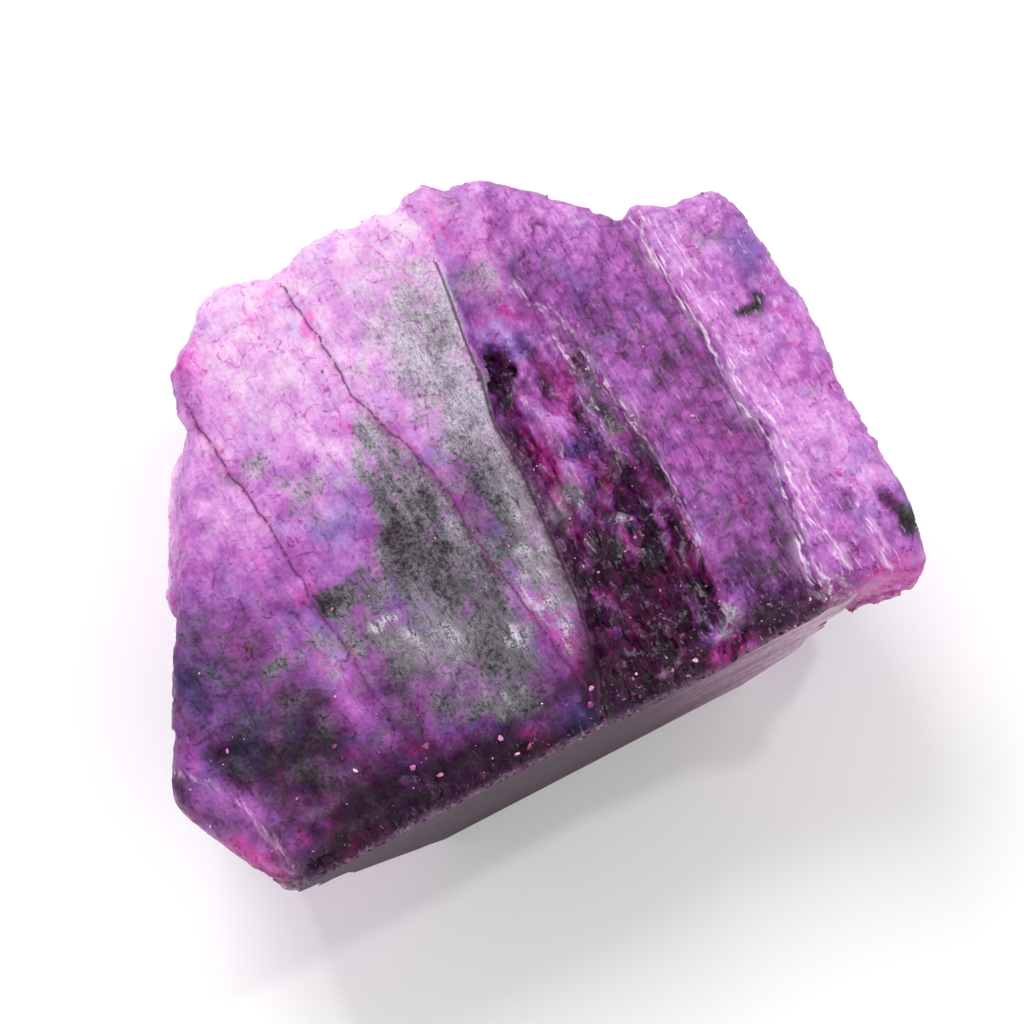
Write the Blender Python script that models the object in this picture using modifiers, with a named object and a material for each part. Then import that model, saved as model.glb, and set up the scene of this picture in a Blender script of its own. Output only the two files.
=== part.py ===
"""A rough purple stone, about 50 x 48 x 27 mm: one solid, with a sawn front and a sawn base.

The stone is built of upright sheets that lean back a little, so it is laid out on a leaning plan.
A point of the plan is (across, up, out) in millimetres from the middle of the top: `across` is the
world's X, `out` is the axis along the sheets, and the sides close in to a point far up that axis.
"""

import math

import bmesh
import bpy
import numpy as np
from mathutils import Matrix, Vector, noise

MM = 0.001

# Driving dimensions, in millimetres and degrees.
TOP_HEIGHT = 24.0  # the middle of the top above the sawn base
PLAN_LEAN = 20.0  # how far the sheets lean from the vertical
PLAN_REACH = 300.0  # the sides close in to a point this far up the plan's axis
TOP_FALL = math.tan(math.radians(15.0))  # fall of the top's own slope along `up`
BLANK_TOP, BLANK_DEPTH = 8.0, 44.0  # the uncut blank along the plan's axis
SIDE_TAPER = 0.0045  # how fast the sides draw in, per mm below the top
SHEET_THICKNESS = 4.6
RELIEF_FADE = 11.0  # depth below the top at which its relief has died out
CENTRE = (-0.35, 1.65)  # the middle of the finished stone's box, moved to the origin
VOXEL = 0.55
MOST_TRIANGLES = 11000  # before the saw takes some away

# The saw's two cuts: a wall in front that hangs over a little, and the base at height 0. The front
# cut stopped short of the right end, where the last of the stone broke off and left a lip.
SAW_TURN, SAW_OVERHANG, SAW_OFFSET = 28.4, 10.0, 8.47
SAW_END = 16.4  # where the front cut stops, along its own length from the middle
SAW_SLAB = (120.0, 20.0, 80.0)  # length, thickness and height of the slab that came away

# The rim of the top, clockwise from the lower left, as (across, up). The stretch in front runs
# outside the sawn wall, which cuts it away.
RIM = [
    (-24.5, -17.6), (-24.9, -15.8), (-24.7, -13.2), (-24.8, -10.5), (-24.9, -7.9), (-24.5, -5.6),
    (-24.3, -1.3), (-24.3, 2.6), (-24.0, 5.9), (-23.8, 7.0), (-24.5, 8.2), (-24.6, 9.5),
    (-24.9, 10.6), (-24.3, 12.4), (-23.7, 12.9), (-23.2, 15.0), (-22.4, 15.9), (-21.3, 16.7),
    (-18.0, 17.4), (-17.0, 18.1), (-16.0, 19.4), (-14.0, 20.5), (-12.9, 20.5), (-12.0, 21.2),
    (-10.0, 21.6), (-9.6, 22.5), (-8.3, 23.4), (-7.3, 23.2), (-6.6, 22.8), (-6.2, 23.6),
    (-4.5, 23.8), (-2.2, 23.2), (0.8, 22.3), (3.4, 21.6), (5.1, 20.9), (5.3, 21.8), (6.2, 22.1),
    (7.7, 21.8), (9.0, 22.5), (10.8, 23.0), (11.8, 22.7), (13.3, 20.9), (15.5, 17.4), (16.6, 16.4),
    (18.4, 12.8), (19.9, 9.2), (21.8, 6.1), (23.8, 2.8), (24.6, 0.3), (25.0, -1.4), (24.7, -2.4),
    (23.8, -3.4), (21.8, -4.3), (20.0, -4.9), (18.6, -8.0), (14.5, -15.0), (-4.0, -25.5),
    (-14.8, -30.0), (-16.0, -23.2),
    (-17.3, -23.1), (-19.6, -21.5), (-21.6, -20.1), (-23.2, -18.8),
]

# Lines of the top, from back to front, as (across, up): two cracks, the edges of the sheets, and
# the ridges and grooves on them.
LEFT_CRACK = [
    (-24.0, 9.1), (-22.5, 6.7), (-21.2, 4.7), (-19.5, 2.6), (-17.0, -1.2), (-15.8, -3.6),
    (-13.0, -7.6), (-11.7, -9.9), (-9.7, -12.4), (-8.1, -13.9),
]
LONG_CRACK = [
    (-18.2, 17.4), (-16.3, 15.1), (-14.0, 11.5), (-12.9, 9.5), (-11.1, 7.8), (-8.6, 5.6),
    (-6.6, 3.2), (-4.8, 0.0), (-0.7, -5.4), (0.9, -7.9), (2.8, -9.9), (3.4, -12.2),
]
GREY_LEDGE = [
    (-9.5, 21.4), (-7.9, 19.7), (-7.1, 17.9), (-5.7, 14.1), (-4.4, 10.9), (-3.4, 7.6),
    (-1.5, 4.3), (0.5, -0.3), (2.0, -3.9), (2.8, -6.6), (3.3, -10.5), (3.8, -13.2),
]
SPLINTER_STEP = [(-0.2, 14.1), (1.0, 12.5), (2.1, 10.2), (3.6, 7.6), (4.7, 4.9)]
ROUND_RIB = [(-2.2, 10.2), (-0.2, 7.6), (0.8, 5.9), (1.8, 3.9), (2.4, 2.0), (2.8, -1.3)]
SATIN_EDGE = [
    (-4.3, 19.7), (-3.2, 18.1), (-1.8, 15.9), (1.8, 13.5), (3.4, 10.5), (5.4, 7.9), (7.0, 5.6),
    (8.7, 2.3), (9.8, -1.0), (10.3, -2.6), (11.4, -4.1), (12.3, -6.6),
]
BRIGHT_RIDGE = [
    (5.3, 21.4), (6.4, 19.7), (8.2, 16.4), (10.3, 13.5), (11.6, 10.5), (13.2, 8.2), (14.3, 7.2),
    (15.3, 3.9), (16.4, 0.7), (17.0, -2.0), (17.9, -3.8),
]
SIDE_RIDGE = [(15.9, 3.2), (17.2, 1.5), (18.8, -0.1), (20.1, -2.4)]
LAST_RIDGE = [(19.7, 3.2), (21.2, 0.9), (22.6, -2.0)]

# How far each sheet's edge steps, as (up, step) from front to back.
GREY_DROP = [(-15.0, 0.4), (-10.5, 1.4), (-5.0, 2.1), (10.0, 2.2), (14.0, 1.6), (18.0, 0.7), (22.0, 0.2)]
SATIN_RISE = [(-7.0, 1.5), (-2.0, 2.2), (8.0, 2.4), (13.0, 1.7), (16.0, 0.9), (20.0, 0.3)]
RIDGE_RISE = [(-5.0, 1.3), (6.0, 1.2), (21.0, 0.8)]

# Pits (negative) and lumps of the top: across, up, half width, half length, height.
MOUNDS = [
    (-3.2, 11.3, 1.0, 0.8, -0.8),
    (-2.5, 7.7, 0.9, 0.7, -0.6),
    (-1.8, 12.8, 1.2, 1.0, 0.7),
    (1.8, 7.0, 1.3, 1.2, 0.7),
    (4.2, 3.4, 1.1, 1.3, 0.6),
    (6.4, -3.4, 3.2, 6.0, -1.3),
    (5.7, -1.3, 2.2, 2.2, 1.4),
    (7.8, -8.0, 1.4, 2.2, 1.0),
    (11.0, -6.2, 1.5, 1.2, 0.6),
    (-4.7, 17.2, 1.6, 1.6, 0.35),
]

# How wide the broken shoulder above the sawn wall is, and how far it falls, as (across, mm).
SHOULDER_WIDTH = [(-17.0, 2.5), (-12.0, 5.0), (-2.0, 5.5), (4.0, 4.5), (12.0, 5.0), (18.0, 3.0)]
SHOULDER_FALL = [(-17.0, 2.6), (-12.0, 1.8), (4.0, 1.6), (10.0, 2.4), (18.0, 2.2)]
SHOULDER_FOOT = [(-17.0, -23.5), (19.5, -4.6)]
LEFT_BEVEL = [(-26.0, -15.0), (-21.9, -16.1), (-19.4, -18.2), (-16.0, -22.7)]
RIGHT_BREAK = [(19.2, -3.6), (21.5, -2.4), (26.0, -1.9)]

# Broken faces of the sides and the underside, as (a point on the face, its outward direction).
SIDE_FACES = [
    ((-12.8, -18.4, 6.8), (-0.494, -0.692, -0.529)),
    ((16.2, -2.0, -0.6), (0.795, -0.332, -0.510)),
    ((-14.5, 20.8, 4.5), (-0.450, 0.750, -0.480)),
    ((18.6, 14.6, 4.4), (0.600, 0.600, -0.530)),
    ((-25.0, 2.0, 6.6), (-0.850, 0.120, -0.510)),
    ((1.0, 25.9, 20.0), (-0.060, 0.995, 0.060)),
    ((6.0, 25.4, 9.0), (0.180, 0.950, -0.250)),
    ((-19.2, 19.8, 18.0), (-0.600, 0.790, -0.120)),
    ((17.9, 17.4, 18.0), (0.850, 0.520, 0.040)),
    ((24.3, 6.0, 16.0), (0.905, 0.420, -0.060)),
    ((-26.2, 3.0, 16.0), (-0.996, 0.080, 0.020)),
]


def smooth(x):
    """0 below 0, 1 above 1, and an even S between."""
    x = np.clip(x, 0.0, 1.0)
    return x * x * (3.0 - 2.0 * x)


def along(pairs, x):
    """The value at x of a list of (place, value) pairs."""
    return np.interp(x, [p[0] for p in pairs], [p[1] for p in pairs])


def beside(line, s, t):
    """How far points lie to the right of a line that runs from back to front."""
    pairs = [(up, across) for across, up in reversed(line)]
    slant = along(pairs, t + 0.5) - along(pairs, t - 0.5)
    return (s - along(pairs, t)) / np.hypot(1.0, slant)


def above(line, s, t):
    """How far points lie behind a line that runs from left to right."""
    slant = along(line, s + 0.5) - along(line, s - 0.5)
    return (t - along(line, s)) / np.hypot(1.0, slant)


def stretch(t, front, back, ease=1.5):
    """1 between two places along `up`, easing to 0 outside them."""
    return smooth((t - front) / ease + 0.5) * smooth((back - t) / ease + 0.5)


def rim_distance(s, t):
    """The distance of points from the rim of the top."""
    nearest = np.full(len(s), 1e9)
    for (ax, ay), (bx, by) in zip(RIM, RIM[1:] + RIM[:1]):
        ux, uy = bx - ax, by - ay
        along_edge = np.clip(((s - ax) * ux + (t - ay) * uy) / (ux * ux + uy * uy), 0.0, 1.0)
        nearest = np.minimum(nearest, np.hypot(s - ax - along_edge * ux, t - ay - along_edge * uy))
    return nearest


def fractal(points, size, octaves=3, seed=0.0):
    """Smooth noise of about -1 to 1 whose largest forms are `size` mm."""
    shift = Vector((seed, -seed, 0.5 * seed))
    return np.array([noise.fractal(Vector(p) / size + shift, 1.0, 2.0, octaves) for p in points])


def chips(points, size, seed=0.0):
    """Broken faces about `size` mm wide: each cell is a flat chip with its own height and tilt."""
    heights = np.empty(len(points))
    shift = Vector((seed, seed, -seed))
    for i, p in enumerate(points):
        place = Vector(p) / size + shift
        middle = noise.voronoi(place)[1][0]
        tilt = noise.cell_vector(middle * 7.3)
        heights[i] = 0.6 * (noise.cell(middle * 3.1) - 0.5) + (tilt - Vector((0.5, 0.5, 0.5))).dot(place - middle)
    return heights


def to_world(s, t, d):
    """Plan (across, up, out) to world millimetres, before the stone is centred."""
    lean = math.radians(PLAN_LEAN)
    closing = 1.0 - d / PLAN_REACH
    x = s * closing
    y = t * closing * math.cos(lean) - d * math.sin(lean)
    z = TOP_HEIGHT + t * closing * math.sin(lean) + d * math.cos(lean)
    return np.column_stack((x, y, z))


def to_plan(points):
    """World millimetres to plan (across, up, out)."""
    lean = math.radians(PLAN_LEAN)
    x, y, z = points[:, 0], points[:, 1], points[:, 2] - TOP_HEIGHT
    d = z * math.cos(lean) - y * math.sin(lean)
    closing = 1.0 - d / PLAN_REACH
    return x / closing, (y * math.cos(lean) + z * math.sin(lean)) / closing, d


def sheets(s, t):
    """The stepped sheets of the top and the trough between them."""
    left, long = beside(LEFT_CRACK, s, t), beside(LONG_CRACK, s, t)
    grey, satin = beside(GREY_LEDGE, s, t), beside(SATIN_EDGE, s, t)
    ridge = beside(BRIGHT_RIDGE, s, t)
    height = -0.25 * smooth(-left / 0.5) - 0.055 * np.clip(-left, 0.0, None)
    height += 0.25 * smooth(long / 0.6) + 0.35 * np.exp(-((grey + 0.7) / 0.9) ** 2) * stretch(t, -9.0, 12.0)
    wall = along([(-8.0, 0.9), (-2.0, 1.5), (3.0, 1.3), (7.0, 0.6)], t)
    height -= along(GREY_DROP, t) * smooth(grey / wall)
    rise = along(SATIN_RISE, t)
    splinter = beside(SPLINTER_STEP, s, t)
    first = 0.55 * stretch(t, 4.5, 14.5)
    height += rise * first * smooth(splinter / 0.5 + 0.5)
    height += rise * (1.0 - first) * smooth(satin / 0.7 + 0.5)
    height += 0.25 * smooth(satin / 4.0) - 0.25 * smooth((ridge + 3.0) / 3.0)
    height += along(RIDGE_RISE, t) * smooth(ridge / 0.9 + 0.3)
    height += 0.35 * smooth(beside(SIDE_RIDGE, s, t) / 0.5) * stretch(t, -3.0, 3.2)
    height -= 0.3 * smooth(beside(LAST_RIDGE, s, t) / 0.5) * stretch(t, -3.0, 3.2)
    rib = beside(ROUND_RIB, s, t)
    height += 0.9 * np.exp(-((rib / 0.85) ** 2)) * stretch(t, -1.0, 9.6)
    return height


def edges_and_mounds(s, t):
    """The mounds and pits, the fallen shoulder in front, and the bevels at its two ends."""
    height = np.zeros(len(s))
    for across, up, half_width, half_length, tall in MOUNDS:
        away = ((s - across) / half_width) ** 2 + ((t - up) / half_length) ** 2
        height += tall * np.exp(-away)
    foot = above(SHOULDER_FOOT, s, t)
    height -= along(SHOULDER_FALL, s) * (1.0 - smooth(foot / along(SHOULDER_WIDTH, s))) ** 1.3
    height -= 0.35 * np.clip(-foot, 0.0, 4.0)
    bevel = above(LEFT_BEVEL, s, t)
    height -= 0.95 * np.clip(-bevel, 0.0, 5.0) * smooth((-13.0 - s) / 2.0)
    broken = above(RIGHT_BREAK, s, t)
    height -= 1.8 * np.clip(-broken, 0.0, 3.0) * smooth((s - 18.2) / 1.0)
    return height


def broken_share(s, t):
    """How much of the surface is broken up into chips: the trough and the shoulder."""
    trough = smooth(beside(GREY_LEDGE, s, t) / 0.8) * smooth(-beside(SATIN_EDGE, s, t) / 0.8 + 0.8)
    trough = trough * smooth((16.5 - t) / 4.0)
    shoulder = 1.0 - smooth(above(SHOULDER_FOOT, s, t) / along(SHOULDER_WIDTH, s))
    return np.clip(0.25 + 0.75 * np.maximum(trough, shoulder), 0.0, 1.0)


def relief(points, s, t):
    """The height of the top above its slope."""
    height = sheets(s, t) + edges_and_mounds(s, t)
    height += 0.3 * fractal(points, 9.0, seed=3.0)
    height += 0.55 * broken_share(s, t) * chips(points, 2.4, seed=11.0)
    rounding = 1.0 + 0.35 * fractal(points, 4.0, seed=5.0)
    inside = np.clip(rim_distance(s, t) / rounding, 0.0, 1.0)
    height -= rounding * (1.0 - np.sqrt(1.0 - (1.0 - inside) ** 2))
    return height


def saw_direction():
    """Which way the sawn wall faces."""
    turn, overhang = math.radians(SAW_TURN), math.radians(SAW_OVERHANG)
    level = math.cos(overhang)
    return Vector((math.sin(turn) * level, -math.cos(turn) * level, -math.sin(overhang)))


def sheet_steps(points, s, t):
    """From 0 to 1, how far each upright sheet stands back where the sides break across the sheets."""
    counted = (0.87 * s + 0.5 * t + 0.9 * fractal(points, 8.0, seed=31.0)) / SHEET_THICKNESS
    whole = np.floor(counted)
    here = np.array([noise.cell(Vector((n, 4.7, 9.1))) for n in whole])
    after = np.array([noise.cell(Vector((n + 1.0, 4.7, 9.1))) for n in whole])
    return here + (after - here) * smooth((counted - whole - 0.8) / 0.2)


def side_hollows(points, s, t, below):
    """How far the broken sides lie inside the blank: wide hollows, sheets and chips."""
    hollow = 0.45 * (1.0 + fractal(points, 12.0, seed=21.0))
    hollow += 0.8 * sheet_steps(points, s, t)
    hollow += 1.0 * (0.5 + chips(points, 7.0, seed=2.0))
    hollow += 0.4 * (0.5 + chips(points, 3.0, seed=8.0))
    waste = smooth(points @ np.array(saw_direction()) - SAW_OFFSET - 1.0)
    return np.clip(hollow, 0.0, None) * smooth((below - 0.6) / 3.0) * (1.0 - waste)


def shape_stone(points, normals):
    """Moves the blank's points, in mm, to the stone's surface."""
    s, t, d = to_plan(points)
    below = -TOP_FALL * t - d
    keep = 1.0 - smooth(below / RELIEF_FADE)
    lift = relief(points, s, t) * keep
    narrowing = 1.0 - SIDE_TAPER * np.clip(below, 0.0, None)
    bulge = 1.2 * stretch(t, -5.5, 6.0, ease=4.0) * smooth((below - 1.0) / 4.0) * smooth(-s - 22.0)
    bulge = bulge * (1.0 - smooth((below - 9.0) / 6.0))
    shaped = to_world(s * narrowing - bulge, t * narrowing, d + lift)
    out = np.array((0.0, -math.sin(math.radians(PLAN_LEAN)), math.cos(math.radians(PLAN_LEAN))))
    steep = smooth((0.85 - np.abs(normals @ out)) / 0.4)
    return shaped - normals * (side_hollows(points, s, t, below) * steep * (1.0 - smooth(bulge)))[:, None]


def cut_flat(bm, point, direction):
    """Saws off what lies beyond a plane, given in mm, and closes the cut with one flat face."""
    bmesh.ops.bisect_plane(
        bm,
        geom=bm.verts[:] + bm.edges[:] + bm.faces[:],
        dist=1e-8,
        plane_co=Vector(point) * MM,
        plane_no=Vector(direction).normalized(),
        clear_outer=True,
    )
    bmesh.ops.holes_fill(bm, edges=[edge for edge in bm.edges if edge.is_boundary], sides=0)
    bmesh.ops.recalc_face_normals(bm, faces=bm.faces[:])


def clear_scene():
    for item in list(bpy.data.objects):
        bpy.data.objects.remove(item, do_unlink=True)


def as_mesh(item):
    """The object's evaluated mesh, with its modifiers applied."""
    item_now = item.evaluated_get(bpy.context.evaluated_depsgraph_get())
    return bpy.data.meshes.new_from_object(item_now)


def swap_mesh(item, mesh):
    item.modifiers.clear()
    item.data = mesh


def make_blank(collection):
    """The rim drawn as a flat outline, given its depth, and trimmed by the flat top and side faces."""
    outline = bpy.data.curves.new("rim_outline", "CURVE")
    outline.dimensions = "2D"
    outline.fill_mode = "BOTH"
    outline.extrude = BLANK_DEPTH / 2
    spline = outline.splines.new("POLY")
    spline.points.add(len(RIM) - 1)
    for point, (across, up) in zip(spline.points, RIM):
        point.co = (across, up, 0.0, 1.0)
    spline.use_cyclic_u = True
    drawn = bpy.data.objects.new("rim_outline", outline)
    collection.objects.link(drawn)
    mesh = as_mesh(drawn)
    bpy.data.objects.remove(drawn)

    bm = bmesh.new()
    bm.from_mesh(mesh)
    bmesh.ops.remove_doubles(bm, verts=bm.verts[:], dist=1e-5)
    plan = np.array([vertex.co[:] for vertex in bm.verts])
    placed = to_world(plan[:, 0], plan[:, 1], plan[:, 2] + BLANK_TOP - BLANK_DEPTH / 2)
    for vertex, place in zip(bm.verts, placed):
        vertex.co = Vector(place) * MM
    bmesh.ops.recalc_face_normals(bm, faces=bm.faces[:])
    fall = math.radians(PLAN_LEAN) - math.atan(TOP_FALL)
    cut_flat(bm, (0.0, 0.0, TOP_HEIGHT), (0.0, -math.sin(fall), math.cos(fall)))
    for point, direction in SIDE_FACES:
        cut_flat(bm, point, direction)
    cut_flat(bm, (0.0, 0.0, -2.0), (0.0, 0.0, -1.0))
    bm.to_mesh(mesh)
    bm.free()
    return mesh


def make_saw_slab(cutters):
    """The slab that the saw took off the front: a box with one side on the sawn wall."""
    bm = bmesh.new()
    length, thickness, height = (side * MM for side in SAW_SLAB)
    middle = Vector((SAW_END * MM - length / 2, -SAW_OFFSET * MM - thickness / 2, 0.0))
    bmesh.ops.create_cube(bm, size=1.0, matrix=Matrix.LocRotScale(middle, None, (length, thickness, height)))
    mesh = bpy.data.meshes.new("saw_slab")
    bm.to_mesh(mesh)
    bm.free()
    slab = bpy.data.objects.new("saw_slab", mesh)
    slab.rotation_euler = (math.radians(SAW_OVERHANG), 0.0, math.radians(SAW_TURN))
    slab.hide_render = True
    slab.display_type = "WIRE"
    cutters.objects.link(slab)
    return slab


def saw_front(stone, cutters):
    """The front cut is made after the surface is shaped, so the wall stays quite flat."""
    cut = stone.modifiers.new("front_cut", "BOOLEAN")
    cut.operation = "DIFFERENCE"
    cut.object = make_saw_slab(cutters)
    bpy.context.view_layer.update()
    swap_mesh(stone, as_mesh(stone))


def saw_base_and_centre(mesh):
    """The base is cut last, and the stone is moved to stand on the origin."""
    bm = bmesh.new()
    bm.from_mesh(mesh)
    cut_flat(bm, (0.0, 0.0, 0.0), (0.0, 0.0, -1.0))
    bmesh.ops.translate(bm, verts=bm.verts[:], vec=Vector((-CENTRE[0], -CENTRE[1], 0.0)) * MM)
    bmesh.ops.triangulate(bm, faces=bm.faces[:], quad_method="BEAUTY", ngon_method="BEAUTY")
    bm.to_mesh(mesh)
    bm.free()


def even_out(stone):
    """Rebuilds the surface from even faces, which also melts any folds away."""
    remesh = stone.modifiers.new("even_faces", "REMESH")
    remesh.mode = "VOXEL"
    remesh.voxel_size = VOXEL * MM
    swap_mesh(stone, as_mesh(stone))


def make_stone(collection, cutters):
    stone = bpy.data.objects.new("rough_sapphire", make_blank(collection))
    collection.objects.link(stone)
    even_out(stone)
    mesh = stone.data
    points = np.array([vertex.co[:] for vertex in mesh.vertices]) / MM
    normals = np.array([vertex.normal[:] for vertex in mesh.vertices])
    mesh.vertices.foreach_set("co", (shape_stone(points, normals) * MM).ravel())
    mesh.update()
    even_out(stone)

    thin = stone.modifiers.new("fewer_faces", "DECIMATE")
    thin.use_collapse_triangulate = True
    thin.ratio = MOST_TRIANGLES / (2 * len(stone.data.polygons))
    swap_mesh(stone, as_mesh(stone))
    saw_front(stone, cutters)
    saw_base_and_centre(stone.data)
    return stone


def purple_stone():
    """Dyed, granular crystal rock: a waxy, half-matt purple."""
    material = bpy.data.materials.new("purple_stone")
    material.use_nodes = True
    shader = material.node_tree.nodes["Principled BSDF"]
    shader.inputs["Base Color"].default_value = (0.22, 0.045, 0.28, 1.0)
    shader.inputs["Roughness"].default_value = 0.45
    shader.inputs["Metallic"].default_value = 0.0
    return material


def main():
    clear_scene()
    collection = bpy.data.collections.new("rough_sapphire")
    bpy.context.scene.collection.children.link(collection)
    cutters = bpy.data.collections.new("cutters")
    bpy.context.scene.collection.children.link(cutters)
    stone = make_stone(collection, cutters)
    stone.data.materials.append(purple_stone())
    print("triangles:", len(stone.data.polygons))


main()
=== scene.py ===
# %% [markdown]
# # A rough purple gemstone
#
# One lump of coarse crystal rock, 50 mm across, dyed purple. It is built of upright sheets that
# broke off one beside the other, so its top is a set of stepped strips with a dark, splintered
# trough between them. A saw made the front wall and the base. The lesson makes the skin of the
# stone as one fine mesh, works out the dye and the dust of every point, and finishes it with two
# materials, one for broken rock and one for sawn rock. Then come the loose crystals, with a material
# of their own, the floor, the light and the camera. Lengths are in millimetres, and MM turns them to
# Blender's metres where a mesh is made.

# %% The frame and the imports
import math
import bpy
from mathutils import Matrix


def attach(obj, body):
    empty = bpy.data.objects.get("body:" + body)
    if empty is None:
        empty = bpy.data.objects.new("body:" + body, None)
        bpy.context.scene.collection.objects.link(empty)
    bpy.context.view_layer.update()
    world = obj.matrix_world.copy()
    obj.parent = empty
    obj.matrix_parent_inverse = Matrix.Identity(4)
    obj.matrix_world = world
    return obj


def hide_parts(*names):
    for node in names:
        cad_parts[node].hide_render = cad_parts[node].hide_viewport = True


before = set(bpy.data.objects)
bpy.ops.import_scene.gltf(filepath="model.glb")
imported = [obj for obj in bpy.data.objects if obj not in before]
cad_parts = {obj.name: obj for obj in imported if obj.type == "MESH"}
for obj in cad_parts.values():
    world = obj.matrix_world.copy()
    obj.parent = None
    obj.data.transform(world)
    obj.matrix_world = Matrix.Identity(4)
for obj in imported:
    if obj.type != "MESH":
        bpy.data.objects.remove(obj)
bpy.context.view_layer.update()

from types import SimpleNamespace

import bmesh
import bpy
import numpy as np
from mathutils import Matrix, Vector, noise

MM = 0.001

# %% [markdown]
# ## The stone's own measurements
#
# The sheets lean back a little, so the stone is laid out on a leaning plan. A point of the plan is
# (across, up, out) in millimetres from the middle of the top: `across` is the world's X, `out` runs
# along the sheets, and the sides close in to a point far up that axis. These are the solid's own
# measurements again, so the skin follows it closely.

# %% Height, lean and saw cuts
TOP_HEIGHT = 24.0  # the middle of the top, above the ground
PLAN_LEAN = math.radians(20.0)  # how far the sheets lean back
PLAN_REACH = 300.0  # how far out along the sheets the sides would meet
TOP_FALL = math.tan(math.radians(15.0))  # how steeply the top falls to the front, on the plan
BLANK_TOP, BLANK_DEPTH = 8.0, 44.0  # the uncut blank: its top's place, and its depth
SIDE_TAPER = 0.0045  # how much narrower the sides get with each millimetre down
SHEET_THICKNESS = 4.6
RELIEF_FADE = 11.0  # how far below the rim the top's relief has faded out
CENTRE = (-0.35, 1.65)  # the middle of the outline, which moves to the origin
SAW_TURN, SAW_OVERHANG, SAW_OFFSET = math.radians(28.4), math.radians(10.0), 8.47
SAW_END = 16.4  # how far to the right the saw cut the front
SAW_SLAB = (120.0, 20.0, 80.0)  # the waste that it took away, longer and taller than the stone
FINE_VOXEL = 0.27  # the width of the finished skin's faces
print("the sheets lean back by", round(math.degrees(PLAN_LEAN)), "degrees")

# %% The rim
RIM = [
    (-24.5, -17.6), (-24.9, -15.8), (-24.7, -13.2), (-24.8, -10.5), (-24.9, -7.9), (-24.5, -5.6),
    (-24.3, -1.3), (-24.3, 2.6), (-24.0, 5.9), (-23.8, 7.0), (-24.5, 8.2), (-24.6, 9.5),
    (-24.9, 10.6), (-24.3, 12.4), (-23.7, 12.9), (-23.2, 15.0), (-22.4, 15.9), (-21.3, 16.7),
    (-18.0, 17.4), (-17.0, 18.1), (-16.0, 19.4), (-14.0, 20.5), (-12.9, 20.5), (-12.0, 21.2),
    (-10.0, 21.6), (-9.6, 22.5), (-8.3, 23.4), (-7.3, 23.2), (-6.6, 22.8), (-6.2, 23.6),
    (-4.5, 23.8), (-2.2, 23.2), (0.8, 22.3), (3.4, 21.6), (5.1, 20.9), (5.3, 21.8), (6.2, 22.1),
    (7.7, 21.8), (9.0, 22.5), (10.8, 23.0), (11.8, 22.7), (13.3, 20.9), (15.5, 17.4), (16.6, 16.4),
    (18.4, 12.8), (19.9, 9.2), (21.8, 6.1), (23.8, 2.8), (24.6, 0.3), (25.0, -1.4), (24.7, -2.4),
    (23.8, -3.4), (21.8, -4.3), (20.0, -4.9), (18.6, -8.0), (14.5, -15.0), (-4.0, -25.5),
    (-14.8, -30.0), (-16.0, -23.2),
    (-17.3, -23.1), (-19.6, -21.5), (-21.6, -20.1), (-23.2, -18.8),
]
RIM_LOOP = RIM + RIM[:1]
print("corners of the rim:", len(RIM))

# %% Lines of the top
# From back to front: two cracks, the edges of the sheets, a rib and the ridges.
LEFT_CRACK = [
    (-24.0, 9.1), (-22.5, 6.7), (-21.2, 4.7), (-19.5, 2.6), (-17.0, -1.2), (-15.8, -3.6),
    (-13.0, -7.6), (-11.7, -9.9), (-9.7, -12.4), (-8.1, -13.9),
]
LONG_CRACK = [
    (-18.2, 17.4), (-16.3, 15.1), (-14.0, 11.5), (-12.9, 9.5), (-11.1, 7.8), (-8.6, 5.6),
    (-6.6, 3.2), (-4.8, 0.0), (-0.7, -5.4), (0.9, -7.9), (2.8, -9.9), (3.4, -12.2),
]
GREY_LEDGE = [
    (-9.5, 21.4), (-7.9, 19.7), (-7.1, 17.9), (-5.7, 14.1), (-4.4, 10.9), (-3.4, 7.6),
    (-1.5, 4.3), (0.5, -0.3), (2.0, -3.9), (2.8, -6.6), (3.3, -10.5), (3.8, -13.2),
]
SPLINTER_STEP = [(-0.2, 14.1), (1.0, 12.5), (2.1, 10.2), (3.6, 7.6), (4.7, 4.9)]
ROUND_RIB = [(-2.2, 10.2), (-0.2, 7.6), (0.8, 5.9), (1.8, 3.9), (2.4, 2.0), (2.8, -1.3)]
SATIN_EDGE = [
    (-4.3, 19.7), (-3.2, 18.1), (-1.8, 15.9), (1.8, 13.5), (3.4, 10.5), (5.4, 7.9), (7.0, 5.6),
    (8.7, 2.3), (9.8, -1.0), (10.3, -2.6), (11.4, -4.1), (12.3, -6.6),
]
BRIGHT_RIDGE = [
    (5.3, 21.4), (6.4, 19.7), (8.2, 16.4), (10.3, 13.5), (11.6, 10.5), (13.2, 8.2), (14.3, 7.2),
    (15.3, 3.9), (16.4, 0.7), (17.0, -2.0), (17.9, -3.8),
]
SIDE_RIDGE = [(15.9, 3.2), (17.2, 1.5), (18.8, -0.1), (20.1, -2.4)]
LAST_RIDGE = [(19.7, 3.2), (21.2, 0.9), (22.6, -2.0)]
print("the bright ridge's length, in mm:", round(math.dist(BRIGHT_RIDGE[0], BRIGHT_RIDGE[-1]), 1))

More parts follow.
